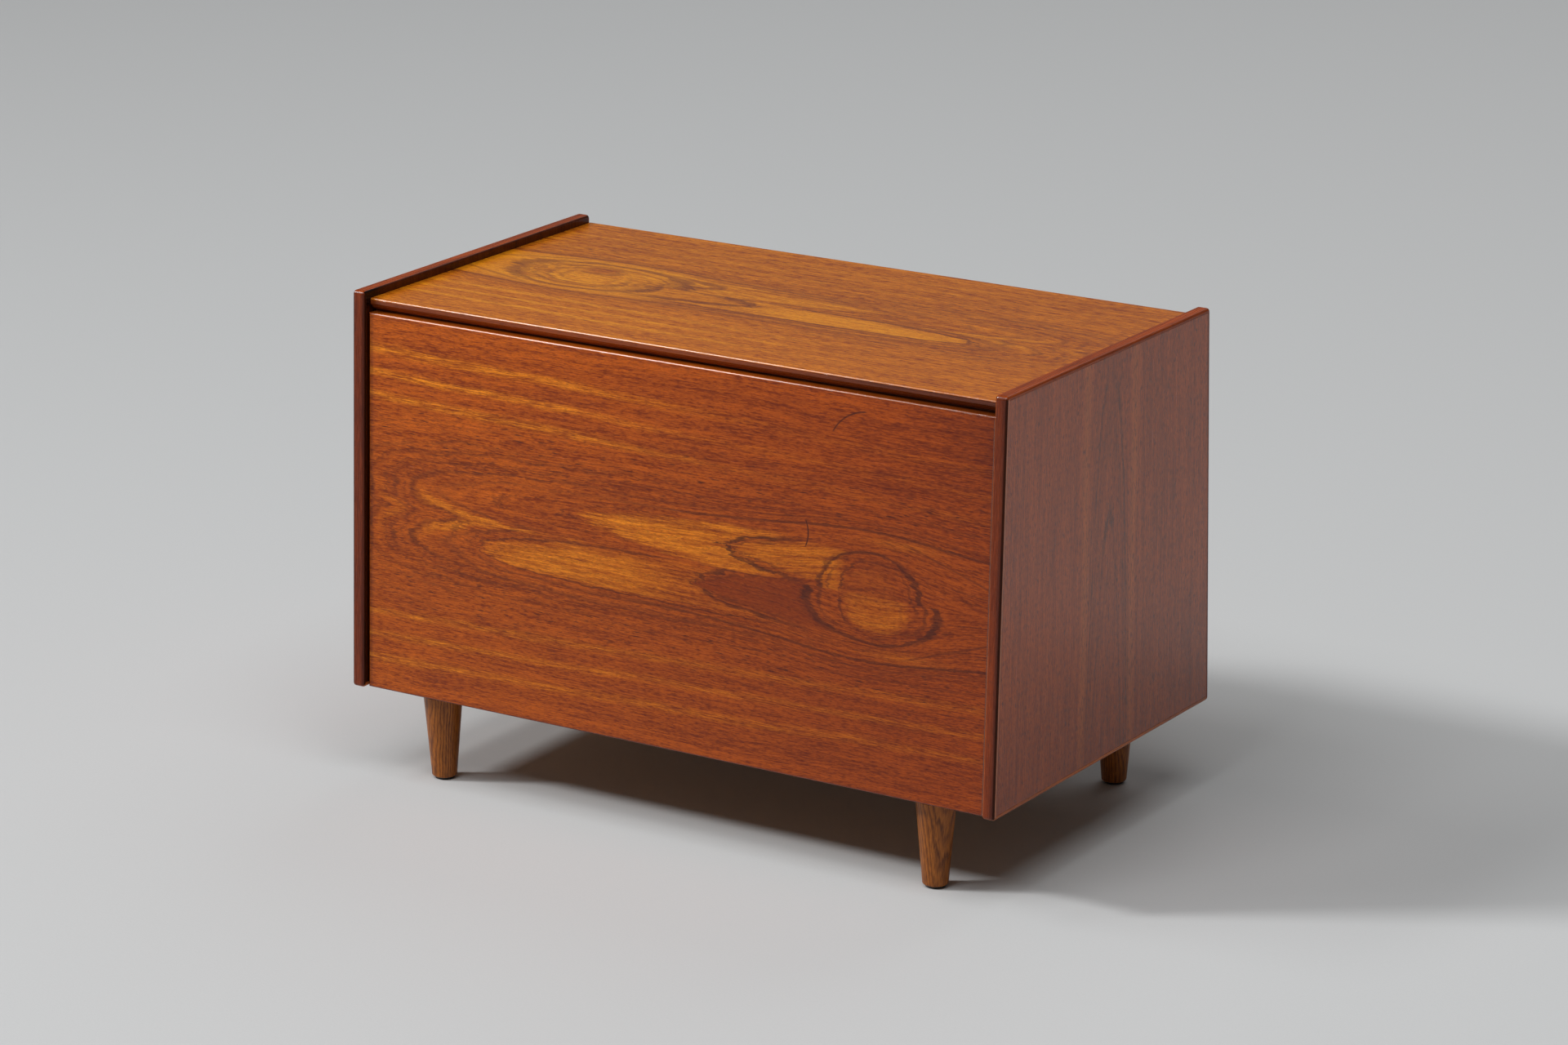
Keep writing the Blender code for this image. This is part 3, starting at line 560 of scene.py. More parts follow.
def figured_teak(name, along, across, figure, palette, shine, wear=None):
    """Book-matched crown-cut veneer: two leaves mirrored on a seam, each with a tongue, a leaf and a knot.

    along and across give the place along the grain and from the seam, in millimetres. wear adds marks of use.
    """
    finish = Finish(name)
    u = along(finish)
    v = across(finish)
    upper = v.math("GREATER_THAN", 0.0)
    fold = abs(v)
    finish.place = u.make("ShaderNodeCombineXYZ", {}, {0: u, 1: fold, 2: upper * 7.0})

    def own(key):
        """A measure that differs between the two leaves."""
        above, below = figure[key]
        return upper * (above - below) + below

    bow = finish.streaks([260, 75, 75], 2.2, 1.0)
    wave = finish.streaks([80, 20, 20], 8.4, 2.0)
    swell = finish.streaks([46, 34, 34], 23.9, 1.0)
    ripple = finish.streaks([17, 12, 12], 29.3, 1.0)
    w = fold + bow * 9 + wave * 2.5
    round_knot = (u - KNOT_ALONG).bell(105) * (w - 40).bell(55) * 20
    flow = w - round_knot
    finish.place = u.make("ShaderNodeCombineXYZ", {}, {0: u, 1: flow, 2: upper * 7.0})
    fine, finest, pores = fibres(finish, FIGURE_GRAIN)
    bold = palette["bold"]
    speck = finish.streaks([7.5 * bold, 1.5 * bold, 1.5 * bold], 77.0, 2.0)
    cord = finish.streaks([130, 4.5, 4.5], 14.0, 2.0)
    hair = finish.streaks([16, 1.8, 1.8], 55.0, 1.0).step(0.11, 0.22)
    jag = finish.streaks([5, 2.2, 2.2], 12.6, 1.0)
    teeth = finish.streaks([26, 4.2, 4.2], 61.0, 1.0)
    patch = finish.streaks([120, 18, 18], 33.0, 2.0)

    # Growth rings: arches that close at the low end, pushed outwards round the knot
    depth = ((u - ARCH_START) * (-1 / ARCH_REACH)).math("EXPONENT") * ARCH_BREADTH
    off_axis = flow - RING_AXIS
    ring = (depth * depth + off_axis * off_axis).root() + jag * 3 + fine * 5 + wave * 10 + swell * 5
    broad = ring.bands(17.0, 3.0, 1.0) - 0.5
    narrow = ring.bands(4.0, 9.0, 2.0) - 0.5
    lines = ring.bands(2.6, 21.0, 1.0).step(0.58, 0.74)
    at_arches = u.step(60, -190)

    # The figure along the seam
    near = fold + wave * 5 + jag * 1.5 + ripple * 5
    long = u + swell * 14 + teeth * 34 + jag * 12 + ripple * 6
    feathered = long + fine * own("tongue_feather")
    inner = tongue(
        feathered,
        near,
        own("tongue_tip"),
        own("tongue_length"),
        TONGUE_MIDDLE,
        own("tongue_half"),
        TONGUE_POINT,
    )
    leaf = tongue(
        long + fine * 25,
        near,
        own("leaf_tip"),
        LEAF_LENGTH,
        own("leaf_middle"),
        own("leaf_half"),
        LEAF_POINT,
    )
    calm = u + swell * 9 + teeth * palette["knot_teeth"] + jag * 7
    calm_near = fold + wave * 3 + jag * 1.2 + swell * 7
    knot = oval(calm, calm_near, own("knot_at"), own("knot_middle"), own("knot_length"), own("knot_half"))
    core = oval(calm, calm_near, own("core_at"), own("core_middle"), own("core_length"), own("core_half"))
    before_knot = knot.step(1, -1) * (u - own("knot_at")).step(0, -40)
    in_tongue = inner.step(-3, 7) * leaf.step(3, -1) * u.step(190, 110)
    in_tongue = in_tongue * ((u - own("tongue_peak")).bell(own("tongue_spread")) * 0.7 + 0.3)
    in_leaf = leaf.step(-2, 9) * before_knot
    in_knot = knot.step(-1, 2)
    in_core = core.step(-2, 9)
    crescent = in_knot * (1 - in_core) * u.step(236, 206)

    # Golden parts
    drift = fold + bow * 8 + wave * 2 + (u + 300) * 0.03
    ribbon = strongest((drift - place).bell(width) for place, width in RIBBONS)
    ribbon = ribbon * (fine * 1.5 + finest * 1.2 + cord * 0.6 + 0.62)
    at_high_end = u.step(-260, 160)
    low_ribbon = (1 - at_high_end) * (upper * 0.35 + 0.65) * palette["ribbon_low"]
    high_ribbon = at_high_end * (1.5 - upper * 0.7) * palette["ribbon_high"]
    ribbon = ribbon * (low_ribbon + high_ribbon)
    arch = (ring - 32.5).bell(3).most((ring - 48).bell(3) * 0.5) * at_arches * (w.step(34, 6) * 0.6 + 0.15)
    arch = arch * (fine * 1.3 + finest + 0.8)
    rise = (u - KNOT_ALONG).bell(140) * 19 + 53
    beside_knot = (u - 300).bell(60) * (w - 62).bell(8) * 0.45
    around = (rise - w).step(-5, 14) * (1 - in_core) * u.step(60, 190) * palette["around"]
    gold = in_tongue * own("tongue_gold") + in_leaf * own("leaf_gold") + crescent * own("crescent_gold")
    gold = (gold + in_core * own("core_gold")) * (patch * 1.4 + cord * 0.9 + fine * 0.9 + 0.95)
    gold = gold.most(ribbon * 0.9).most(arch * (patch + 0.9)).most(beside_knot).most(around * (patch + 0.9))

    # Dark outlines
    thick = palette["line_width"]
    ragged = finest.step(-0.22, 0.06) * 0.6 + 0.4
    uneven = swell.step(-0.16, 0.10) * 0.55 + 0.45
    rim = leaf.line(2.4 * thick).most((leaf - 5).line(1.5 * thick) * 0.6) * u.step(205, 120) * own("leaf_rim")
    at_ends = abs((u - own("knot_at")) / own("knot_length")).step(0.35, 0.95)
    ring_round = (knot - 1).line(2.0 * thick) * 0.75
    ring_ends = knot.line(3.3 * thick) * (uneven * 0.5 + 0.4)
    ring_ends = ring_ends.most((knot - 7).line(1.5 * thick) * 0.6) * at_ends
    outline = rim.most(ring_round.most(ring_ends))
    outline = outline.most(core.line(1.6 * thick) * (1.1 - uneven))
    for level, strength in KNOT_RINGS:
        outline = outline.most((knot - level).line(1.2 * thick) * strength * palette["knot_rings"] * uneven)
    edges = (inner - 0.5).line(1.3 * thick).most((inner + 6).line(1.0 * thick) * 0.8)
    edges = edges.most((inner + 14).line(1.1 * thick) * 0.7)
    outline = outline.most(edges * own("tongue_rim") * u.step(190, 90))
    over = (w - rise + jag * 2).line(2.0 * thick) * 0.7
    over = over.most((w - rise - 8).line(1.5 * thick) * 0.35) * u.step(-180, 20)
    tail = (w - 64 + (u - 300) * 0.33).line(1.7 * thick) * u.step(285, 312) * 0.5
    arches = ((ring - 36).line(1.5) * 0.7).most((ring - 43).line(1.4) * 0.6)
    for radius, strength in ARCH_LINES:
        arches = arches.most((ring - radius).line(1.4 * thick) * strength)
    outline = outline.most(over).most(tail).most(arches * at_arches * uneven) * ragged

    # Colours, from the ground to the marks
    tone = broad * 0.35 + narrow * 0.4 + cord * 0.45 + patch * 0.45
    tone = tone + fine * 1.0 + finest * 0.9 + speck * 1.3 + 0.50
    colour = tone.step(0.0, 1.0).mix(palette["dark"], palette["light"])
    gold_tone = fine * 1.2 + finest * 0.8 + cord * 0.8 + speck * 1.1 + 0.5
    golden = gold_tone.step(0.0, 1.0).mix(palette["gold_low"], palette["gold"])
    colour = gold.step(0.0, 1.0).mix(colour, golden)
    red = in_leaf * own("leaf_red") + in_core * own("core_red")
    colour = (red * (fine * 1.2 + cord + 0.85)).mix(colour, palette["red"])
    streaky = hair * ((w - 92).bell(36) * 0.72 + 0.14)
    figure_lines = lines * (w.step(150, 60) * 0.35 + 0.08) * (1 - gold.step(0.0, 1.0) * 0.7)
    marks = outline.most(figure_lines).most(streaky)
    if wear:
        marks = marks.most(wear(u, v))
    colour = marks.mix(colour, palette["line"])
    flecks = speck.step(0.08, 0.24)
    colour = (pores * 0.45).most(flecks * 0.45).mix(colour, PORE_BROWN)
    # Partly the veneer's own tone, partly painted light: lighter on the sides towards the lamps
    lengthwise = u.step(-HALF_LENGTH, HALF_LENGTH).mix(palette["low_end"], palette["high_end"])
    crosswise = v.step(-HALF_BREADTH, HALF_BREADTH).mix(palette["under"], palette["over"])
    colour = colour.times(lengthwise).times(crosswise)
    corner = (u - HALF_LENGTH).bell(75) * v.step(50, 190)
    colour = corner.mix(colour, palette["corner"], "MULTIPLY")
    relief = pores * -0.045 + finest * 0.018 + speck * -0.14
    return finish.close(colour, fine * 0.10 + LACQUER, relief, shine=shine)


def scratches(u, v):
    """Two marks of use on the flap: a short upright scratch and an arc."""
    up = v - SCRATCH_AT[1]
    upright = (u - SCRATCH_AT[0] + up * up * SCRATCH_BOW).bell(SCRATCH_WIDTH)
    upright = upright * v.step(*SCRATCH_FOOT) * v.step(*SCRATCH_HEAD)
    out = u - ARC_CENTRE[0]
    up = v - ARC_CENTRE[1]
    curved = ((out * out + up * up).root() - ARC_RADIUS).bell(SCRATCH_WIDTH)
    curved = curved * u.step(*ARC_RIGHT) * v.step(*ARC_LOW)
    return upright.most(curved * 0.9)


def arched_teak(name, seam, seed):
    """Upright veneer of a side: book-matched on a seam, with slim arches that point upwards beside it."""
    finish = Finish(name)
    u = finish.z
    v = finish.y - seam
    behind = v.math("GREATER_THAN", 0.0)
    finish.place = u.make("ShaderNodeCombineXYZ", {}, {0: u + seed, 1: abs(v), 2: behind * 7.0})
    fine, finest, pores = fibres(finish, SIDE_GRAIN)
    bow = finish.streaks([240, 60, 60], 2.2 + seed, 1.0)
    jag = finish.streaks([9, 2.4, 2.4], 12.6 + seed, 1.0)
    patch = finish.streaks([160, 16, 16], 33.0 + seed, 2.0)
    w = abs(v) + bow * 16
    height = (u - 60) * 0.093
    ring = (height * height + w * w).root() + jag * 3.5
    narrow = ring.bands(6.5, seed + 4.0, 2.0) - 0.5
    lines = (ring - 44).bell(1.2) * 0.9
    for radius, strength in SIDE_LINES:
        lines = lines.most((ring - radius).bell(1.1) * strength)
    lines = lines * (patch * 3.0 + 0.7).step(0.1, 0.9)
    speck = finish.streaks([9.0, 1.5, 1.5], 77.0 + seed, 2.0)
    tone = narrow * 0.5 + patch * 0.6 + fine * 0.9 + finest * 0.9 + speck * 1.5 + 0.60
    colour = tone.step(0.0, 1.0).mix(*SIDE_TONES)
    colour = ((w - 53).bell(8) * (fine * 0.8 + 0.6)).mix(colour, SIDE_GOLD)
    # Painted reflection: darker near the foot, lighter towards the top
    colour = colour.times(u.step(100, 300).mix(SIDE_FOOT_PAINTED_SHADE, SIDE_CROWN_PAINTED_SHEEN))
    colour = (lines * (finest.step(-0.2, 0.1) * 0.7 + 0.3)).mix(colour, SIDE_LINE_BROWN)
    colour = (pores * 0.6).most(speck.step(0.04, 0.15) * 0.8).mix(colour, PORE_BROWN)
    relief = pores * -0.035 + finest * 0.014 + speck * -0.08
    return finish.close(colour, fine * 0.10 + LACQUER, relief, shine=0.66)


def turned_oak(name):
    """Oak legs: growth rings about a pith outside the leg, with open pores in the early wood."""
    finish = Finish(name)
    x = abs(finish.x) - LEG_X
    y = abs(finish.y) - LEG_Y
    which = finish.x.math("SIGN") * 170 + finish.y.math("SIGN") * 390
    finish.place = x.make("ShaderNodeCombineXYZ", {}, {0: x, 1: y, 2: finish.z + which})
    wobble = finish.streaks([16, 16, 70], 3.0, 2.0)
    fine = finish.streaks([0.9, 0.9, 22], 7.0, 2.0)
    pores = finish.streaks([0.6, 0.6, 9.0], 11.0, 0.0).step(0.12, 0.26)
    out = x + 21
    beside = y + 9
    ring = (out * out + beside * beside).root() + wobble * 9 + fine * 0.8
    early = ((ring / 3.1).math("FRACT") - 0.5).bell(0.22)
    tone = early * -0.35 + fine * 1.3 + wobble * 0.5 + 0.62
    colour = tone.step(0.0, 1.0).mix(*OAK_TONES)
    colour = (pores * (early * 0.4 + 0.1)).mix(colour, OAK_PORE)
    return finish.close(colour, fine * 0.15 + OAK_ROUGH, pores * -0.06 + early * -0.03, shine=0.3)


def floor_teak(name):
    """The floor board: teak above, and a paler plain face below."""
    finish = Finish(name)
    fine, finest, pores = fibres(finish, BOARD_GRAIN_X)
    tone = plain_tone(finish, FLOOR_BAND, fine, finest)
    above = tone.mix(*PLAIN_TONES)
    below = tone.mix(*FLOOR_UNDER_TONES)
    colour = finish.z.step(*FLOOR_FACES).mix(below, above)
    colour = (pores * 0.6).mix(colour, PORE_BROWN)
    return finish.close(colour, fine * 0.12 + FLOOR_BOARD_ROUGH, pores * -0.03 + finest * 0.012, shine=0.38)


def plain_finish(name, colour, roughness, metallic=0.0):
    """Metal or plastic with faint wear."""
    finish = Finish(name)
    speckle = finish.streaks([0.6, 0.6, 0.6], 1.0, 2.0)
    worn = finish.streaks([9, 9, 9], 4.0, 3.0)
    dull = tuple(channel * 0.8 for channel in colour[:3]) + (1.0,)
    tone = (worn + 0.5).step(0.2, 0.8).mix(dull, colour)
    return finish.close(tone, speckle * 0.1 + worn * 0.2 + roughness, speckle * 0.01, metallic)


FLAP_VENEER = figured_teak(
    "flap_veneer",
    along=lambda finish: finish.x,
    across=lambda finish: finish.z - FLAP_SEAM,
    figure=FLAP_FIGURE,
    palette=FLAP_PALETTE,
    shine=0.3,
    wear=scratches,
)
TOP_VENEER = figured_teak(
    "top_veneer",
    along=lambda finish: finish.x * -1,
    across=lambda finish: finish.y - TOP_SEAM,
    figure=TOP_FIGURE,
    palette=TOP_PALETTE,
    shine=0.6,
)
SIDE_VENEERS = {
    "left": arched_teak("left_side_veneer", seam=-14.0, seed=57.0),
    "right": arched_teak("right_side_veneer", seam=1.0, seed=0.0),
}
# The sides' inner faces: plain teak with painted shade in the recess and above the top board
SIDE_INNER = straight_teak(
    "side_inner", BOARD_GRAIN_Z, PLAIN_TONES, shine=0.2, painted_shades=[RECESS_PAINTED_SHADE, ABOVE_TOP_PAINTED_SHADE]
)
FLOOR_TEAK = floor_teak("floor_teak")
INNER_VENEER = straight_teak("inner_veneer", BOARD_GRAIN_X, PLAIN_TONES)
LIP_ALONG_X = straight_teak("lipping_along_x", LIP_GRAIN_X, EDGE_TONES, EDGE_ROUGH)
LIP_ALONG_Y = straight_teak("lipping_along_y", LIP_GRAIN_Y, CROWN_TONES, EDGE_ROUGH, shine=0.22)
LIP_ALONG_Z = straight_teak("lipping_along_z", LIP_GRAIN_Z, EDGE_TONES, EDGE_ROUGH, shine=0.28)
LIP_UNDER = straight_teak("lipping_under", LIP_GRAIN_Y, UNDER_TONES, EDGE_ROUGH)
# Painted shade: a near-black finish for a front lipping's inner face
LIP_RECESS_SHADE = straight_teak("lipping_recess_shade", LIP_GRAIN_Z, RECESS_SHADE_TONES, RECESS_ROUGH, shine=0.1)
# Painted shade: a dark finish for a front lipping's outer rounded edge
LIP_SHADED = straight_teak("lipping_shaded", LIP_GRAIN_Z, SHADED_TONES, SHADED_ROUGH, shine=0.1)
LIP_OUTER = straight_teak("lipping_outer", LIP_GRAIN_Z, OUTER_TONES, EDGE_ROUGH, shine=0.9)
LIP_CORNER = straight_teak("lipping_corner", LIP_GRAIN_Z, EDGE_TONES, ARRIS_ROUGH, shine=0.6, coat=1.0)
# Front lippings, each with its painted shade towards the right
LIP_FRONTS = {
    name: straight_teak(
        f"{name}_front_lipping", LIP_GRAIN_Z, EDGE_TONES, EDGE_ROUGH, shine=0.28, painted_shades=[shade]
    )
    for name, shade in FRONT_PAINTED_SHADES.items()
}
# The inner front arrises: painted light on the right, the front lipping's painted shade on the left
LIP_INNERS = {
    "left": LIP_FRONTS["left"],
    "right": straight_teak("right_inner_arris_lit", LIP_GRAIN_Z, LIT_INNER_ARRIS_TONES, EDGE_ROUGH, shine=0.15),
}
STRIP_FRONT = straight_teak("strip_front", LIP_GRAIN_X, STRIP_TONES, EDGE_ROUGH, painted_shades=[STRIP_PAINTED_SHADE])
# Arris finishes: a real clear coat over a base colour lightened as a painted highlight
STRIP_ARRIS_WOOD = straight_teak(
    "strip_arris", LIP_GRAIN_X, STRIP_ARRIS_TONES, ARRIS_ROUGH, shine=1.0, coat=1.0
)
FLAP_ARRIS_WOOD = straight_teak(
    "flap_arris", LIP_GRAIN_X, FLAP_ARRIS_TONES, ARRIS_ROUGH, shine=1.0, coat=1.0, painted_shades=[STRIP_PAINTED_SHADE]
)
OAK = turned_oak("leg_oak")
PLY = straight_teak("back_ply_face", PLY_GRAIN, PLY_TONES, PLY_ROUGH)
BRASS = plain_finish("worn_brass", tint(205, 170, 95), 0.32, 1.0)
STEEL = plain_finish("zinc_plate", tint(180, 182, 184), 0.36, 1.0)
BROWN_PLASTIC = plain_finish("catch_plastic", tint(78, 50, 34), 0.45)
BLACK_PLASTIC = plain_finish("glide_plastic", tint(24, 23, 22), 0.5)


def box_shape(low, high):
    """A box between its lowest and highest corners."""
    low = Vector(low)
    high = Vector(high)
    shape = bmesh.new()
    bmesh.ops.create_cube(shape, size=1)
    bmesh.ops.scale(shape, vec=high - low, verts=shape.verts)
    bmesh.ops.translate(shape, vec=(low + high) / 2, verts=shape.verts)
    return shape


def prism(outline, first, last):
    """An outline of (y, z) points drawn out along X."""
    shape = bmesh.new()
    face = shape.faces.new([shape.verts.new((first, y, z)) for y, z in outline])
    drawn = bmesh.ops.extrude_face_region(shape, geom=[face])["geom"]
    moved = [item for item in drawn if isinstance(item, bmesh.types.BMVert)]
    bmesh.ops.translate(shape, vec=(last - first, 0, 0), verts=moved)
    bmesh.ops.recalc_face_normals(shape, faces=shape.faces)
    return shape


def round_off(shape, radius, wanted=None, steps=ARRIS_STEPS):
    """Rounds the edges that are wanted, or all that are sharp."""
    edges = []
    for edge in shape.edges:
        sharp = edge.is_manifold and edge.calc_face_angle() > SHARP_EDGE
        if sharp and (wanted is None or wanted(edge)):
            edges.append(edge)
    bmesh.ops.bevel(
        shape,
        geom=edges,
        offset=radius,
        offset_type="OFFSET",
        segments=steps,
        profile=0.5,
        affect="EDGES",
        clamp_overlap=True,
        material=-1,
    )


def runs_along(edge, axis):
    """Whether an edge runs along an axis, which is given by its letter."""
    way = (edge.verts[1].co - edge.verts[0].co).normalized()
    return abs(getattr(way, axis)) > FACING


def middle(edge):
    """The point halfway along an edge."""
    return (edge.verts[0].co + edge.verts[1].co) / 2


def kept_within(shape, planes):
    """A copy of the shape without what lies beyond some planes, each a point and an outward normal."""
    part = shape.copy()
    for point, normal in planes:
        everything = part.verts[:] + part.edges[:] + part.faces[:]
        made = bmesh.ops.bisect_plane(
            part, geom=everything, dist=MERGE, plane_co=point, plane_no=normal, clear_outer=True
        )
        rim = [item for item in made["geom_cut"] if isinstance(item, bmesh.types.BMEdge)]
        bmesh.ops.holes_fill(part, edges=rim, sides=0)
    bmesh.ops.recalc_face_normals(part, faces=part.faces)
    return part


def set_down(shape, at, along):
    """Turns a shape's Z axis to a direction and moves its origin to a place."""
    turn = Vector((0, 0, 1)).rotation_difference(Vector(along)).to_matrix()
    bmesh.ops.rotate(shape, cent=(0, 0, 0), matrix=turn, verts=shape.verts)
    bmesh.ops.translate(shape, vec=Vector(at), verts=shape.verts)
    return shape


def turned(profile, at=(0, 0, 0), along=(0, 0, 1), steps=FITTING_STEPS):
    """A profile of (radius, height) turned about an axis through a place."""
    shape = bmesh.new()
    verts = [shape.verts.new((radius, 0, height)) for radius, height in profile]
    edges = [shape.edges.new(pair) for pair in zip(verts, verts[1:])]
    bmesh.ops.spin(
        shape, geom=verts + edges, cent=(0, 0, 0), axis=(0, 0, 1), angle=math.tau, steps=steps, use_merge=True
    )
    bmesh.ops.remove_doubles(shape, verts=shape.verts, dist=MERGE)
    bmesh.ops.recalc_face_normals(shape, faces=shape.faces)
    return set_down(shape, at, along)


def arc(centre, radius, start, stop, steps=FINE_STEPS):
    """Points of (radius, height) on an arc, its angles in degrees."""
    turns = [math.radians(start + (stop - start) * step / steps) for step in range(steps + 1)]
    return [(centre[0] + radius * math.cos(turn), centre[1] + radius * math.sin(turn)) for turn in turns]


def dome(radius, base, rise, steps=FINE_STEPS):
    """Points of (radius, height) from the middle of a dome to its rim."""
    turns = [math.radians(90 * step / steps) for step in range(steps + 1)]
    return [(radius * math.sin(turn), base + rise * math.cos(turn)) for turn in turns]


def stadium(first, last, radius):
    """The outline of a bar with round ends."""
    near_end = arc((first, 0), radius, 90, 270, ROUND_END_STEPS)
    far_end = arc((last, 0), radius, -90, 90, ROUND_END_STEPS)
    return near_end + far_end


def pierced(outline, holes, first, last):
    """An outline of (y, z) points with holes, drawn out along X."""
    shape = bmesh.new()
    edges = []
    for loop in (outline, *holes):
        verts = [shape.verts.new((first, y, z)) for y, z in loop]
        edges += [shape.edges.new((verts[index - 1], verts[index])) for index in range(len(verts))]
    bmesh.ops.triangle_fill(shape, edges=edges, use_beauty=True)
    drawn = bmesh.ops.extrude_face_region(shape, geom=shape.faces[:])["geom"]
    moved = [item for item in drawn if isinstance(item, bmesh.types.BMVert)]
    bmesh.ops.translate(shape, vec=(last - first, 0, 0), verts=moved)
    bmesh.ops.recalc_face_normals(shape, faces=shape.faces)
    return shape


def joined(*shapes):
    """Several closed shapes as one. Each face keeps its finish."""
    whole = bmesh.new()
    for shape in shapes:
        mesh = bpy.data.meshes.new("joined")
        shape.to_mesh(mesh)
        shape.free()
        whole.from_mesh(mesh)
        bpy.data.meshes.remove(mesh)
    return whole


def painted(shape, index):
    """The shape with one of its piece's finishes on all its faces."""
    for face in shape.faces:
        face.material_index = index
    return shape


def slotted_screw(kind, at, out):
    """A domed screw head that faces outwards: two halves beside the slot, on a thin disc."""
    radius, rise, sunk = SCREWS[kind]
    head = turned([*dome(radius, 0, rise), (radius, -sunk), (0, -sunk)])
    slot = radius * SCREW_SLOT
    halves = []
    for way in (1, -1):
        beside = Vector((way, 0, 0))
        halves.append(kept_within(head, [(beside * slot, -beside)]))
    head.free()
    reach = radius * SCREW_FLOOR
    level = -sunk * SCREW_FLOOR_DEPTH
    floor = turned([(0, level), (reach, level), (reach, -sunk), (0, -sunk)])
    return set_down(joined(*halves, floor), at, out)


def is_arris(face):
    """Whether a face belongs to a rounded edge."""
    return max(abs(share) for share in face.normal) < FLAT


def add_piece(name, shape, body, finishes, nodes, pick=None):
    """A finished piece, with the body that it rides on and the nodes that it stands for."""
    if pick:
        for face in shape.faces:
            face.material_index = pick(face)
    mesh = bpy.data.meshes.new(name)
    shape.to_mesh(mesh)
    shape.free()
    for finish in finishes:
        mesh.materials.append(finish)
    mesh.shade_smooth()
    mesh.set_sharp_from_angle(angle=SHARP_SHADING)
    piece = bpy.data.objects.new(name, mesh)
    bpy.context.scene.collection.objects.link(piece)
    even = piece.modifiers.new("even_faces", "WEIGHTED_NORMAL")
    even.keep_sharp = True
    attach(piece, body)
    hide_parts(*nodes)
    return piece


def extent(nodes, turn=Matrix.Identity(4)):
    """Lowest and highest corners of some CAD nodes, seen in a turned frame."""
    back = turn.inverted()
    points = [back @ vert.co for node in nodes for vert in frame["nodes"][node].data.vertices]
    low = Vector([min(point[axis] for point in points) for axis in range(3)])
    high = Vector([max(point[axis] for point in points) for axis in range(3)])
    return low, high


def joint_place(name):
    """A point on a joint's axis."""
    return Vector(next(joint["pos_m"] for joint in frame["joints"] if joint["name"] == name))


# The order of the finishes on a side's front lipping. FRONT carries painted shade towards the right, RECESS
# and OUTER_ARRIS are painted shade, and INNER_ARRIS is painted light on the right side
FRONT, RECESS, OUTER_ARRIS, OUTSIDE, UPPER_CORNER, INNER_ARRIS = range(6)

# Planes worked out from the frame
SIDE_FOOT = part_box("side_lipping_right_bottom")[0].z
SIDE_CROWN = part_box("side_lipping_right_top")[1].z
SLANT = math.atan2(SIDE_LEAN, SIDE_CROWN - SIDE_FOOT)
OUTER_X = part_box("side_panel_right")[1].x
INNER_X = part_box("side_panel_right")[0].x
FLAP_TURN = Matrix.Translation(joint_place("flap_hinge")) @ Matrix.Rotation(-SLANT, 4, "X")


def side_corners(inset):
    """A side's four corners of (y, z), moved inwards: front foot, back foot, back top, front top."""
    lean = inset / math.cos(SLANT)
    corners = []
    for z in (SIDE_FOOT + inset, SIDE_CROWN - inset):
        edge = FOOT_DEPTH / 2 - SIDE_LEAN * (z - SIDE_FOOT) / (SIDE_CROWN - SIDE_FOOT) - lean
        corners.append([(-edge, z), (edge, z)])
    (front_foot, back_foot), (front_top, back_top) = corners
    return [front_foot, back_foot, back_top, front_top]


def outward(first, second):
    """The (y, z) normal of an edge of the side, pointing out of the board."""
    run = Vector(second) - Vector(first)
    return Vector((run.y, -run.x)).normalized()


def in_space(point):
    """A (y, z) point or direction as a vector."""
    return Vector((0, point[0], point[1]))


def front_edge_finish(normal, side):
    """Which finish a face of a side's front lipping takes, by the way that it faces."""
    outwards = normal.x * side
    if outwards < -0.97:
        return RECESS
    if outwards > FACING:
        return OUTSIDE
    if normal.z > 0.2 and normal.y < -0.2:
        return UPPER_CORNER
    if outwards < -0.3:
        return INNER_ARRIS
    return OUTER_ARRIS if outwards > 0.45 else FRONT


def edging_finishes(name, side, place):
    """The finishes of one of a side's lippings, and what picks one of them for a face."""
    if place == "top":
        # A top lipping's inner face takes the inner finish, with its painted shade above the top board
        return [LIP_ALONG_Y, SIDE_INNER], lambda face: int(face.normal.x * side < -0.6)
    if place == "front":
        finishes = [LIP_FRONTS[name], LIP_RECESS_SHADE, LIP_SHADED, LIP_OUTER, LIP_CORNER, LIP_INNERS[name]]
        return finishes, lambda face: front_edge_finish(face.normal, side)
    return [LIP_UNDER if place == "bottom" else LIP_ALONG_Z], None


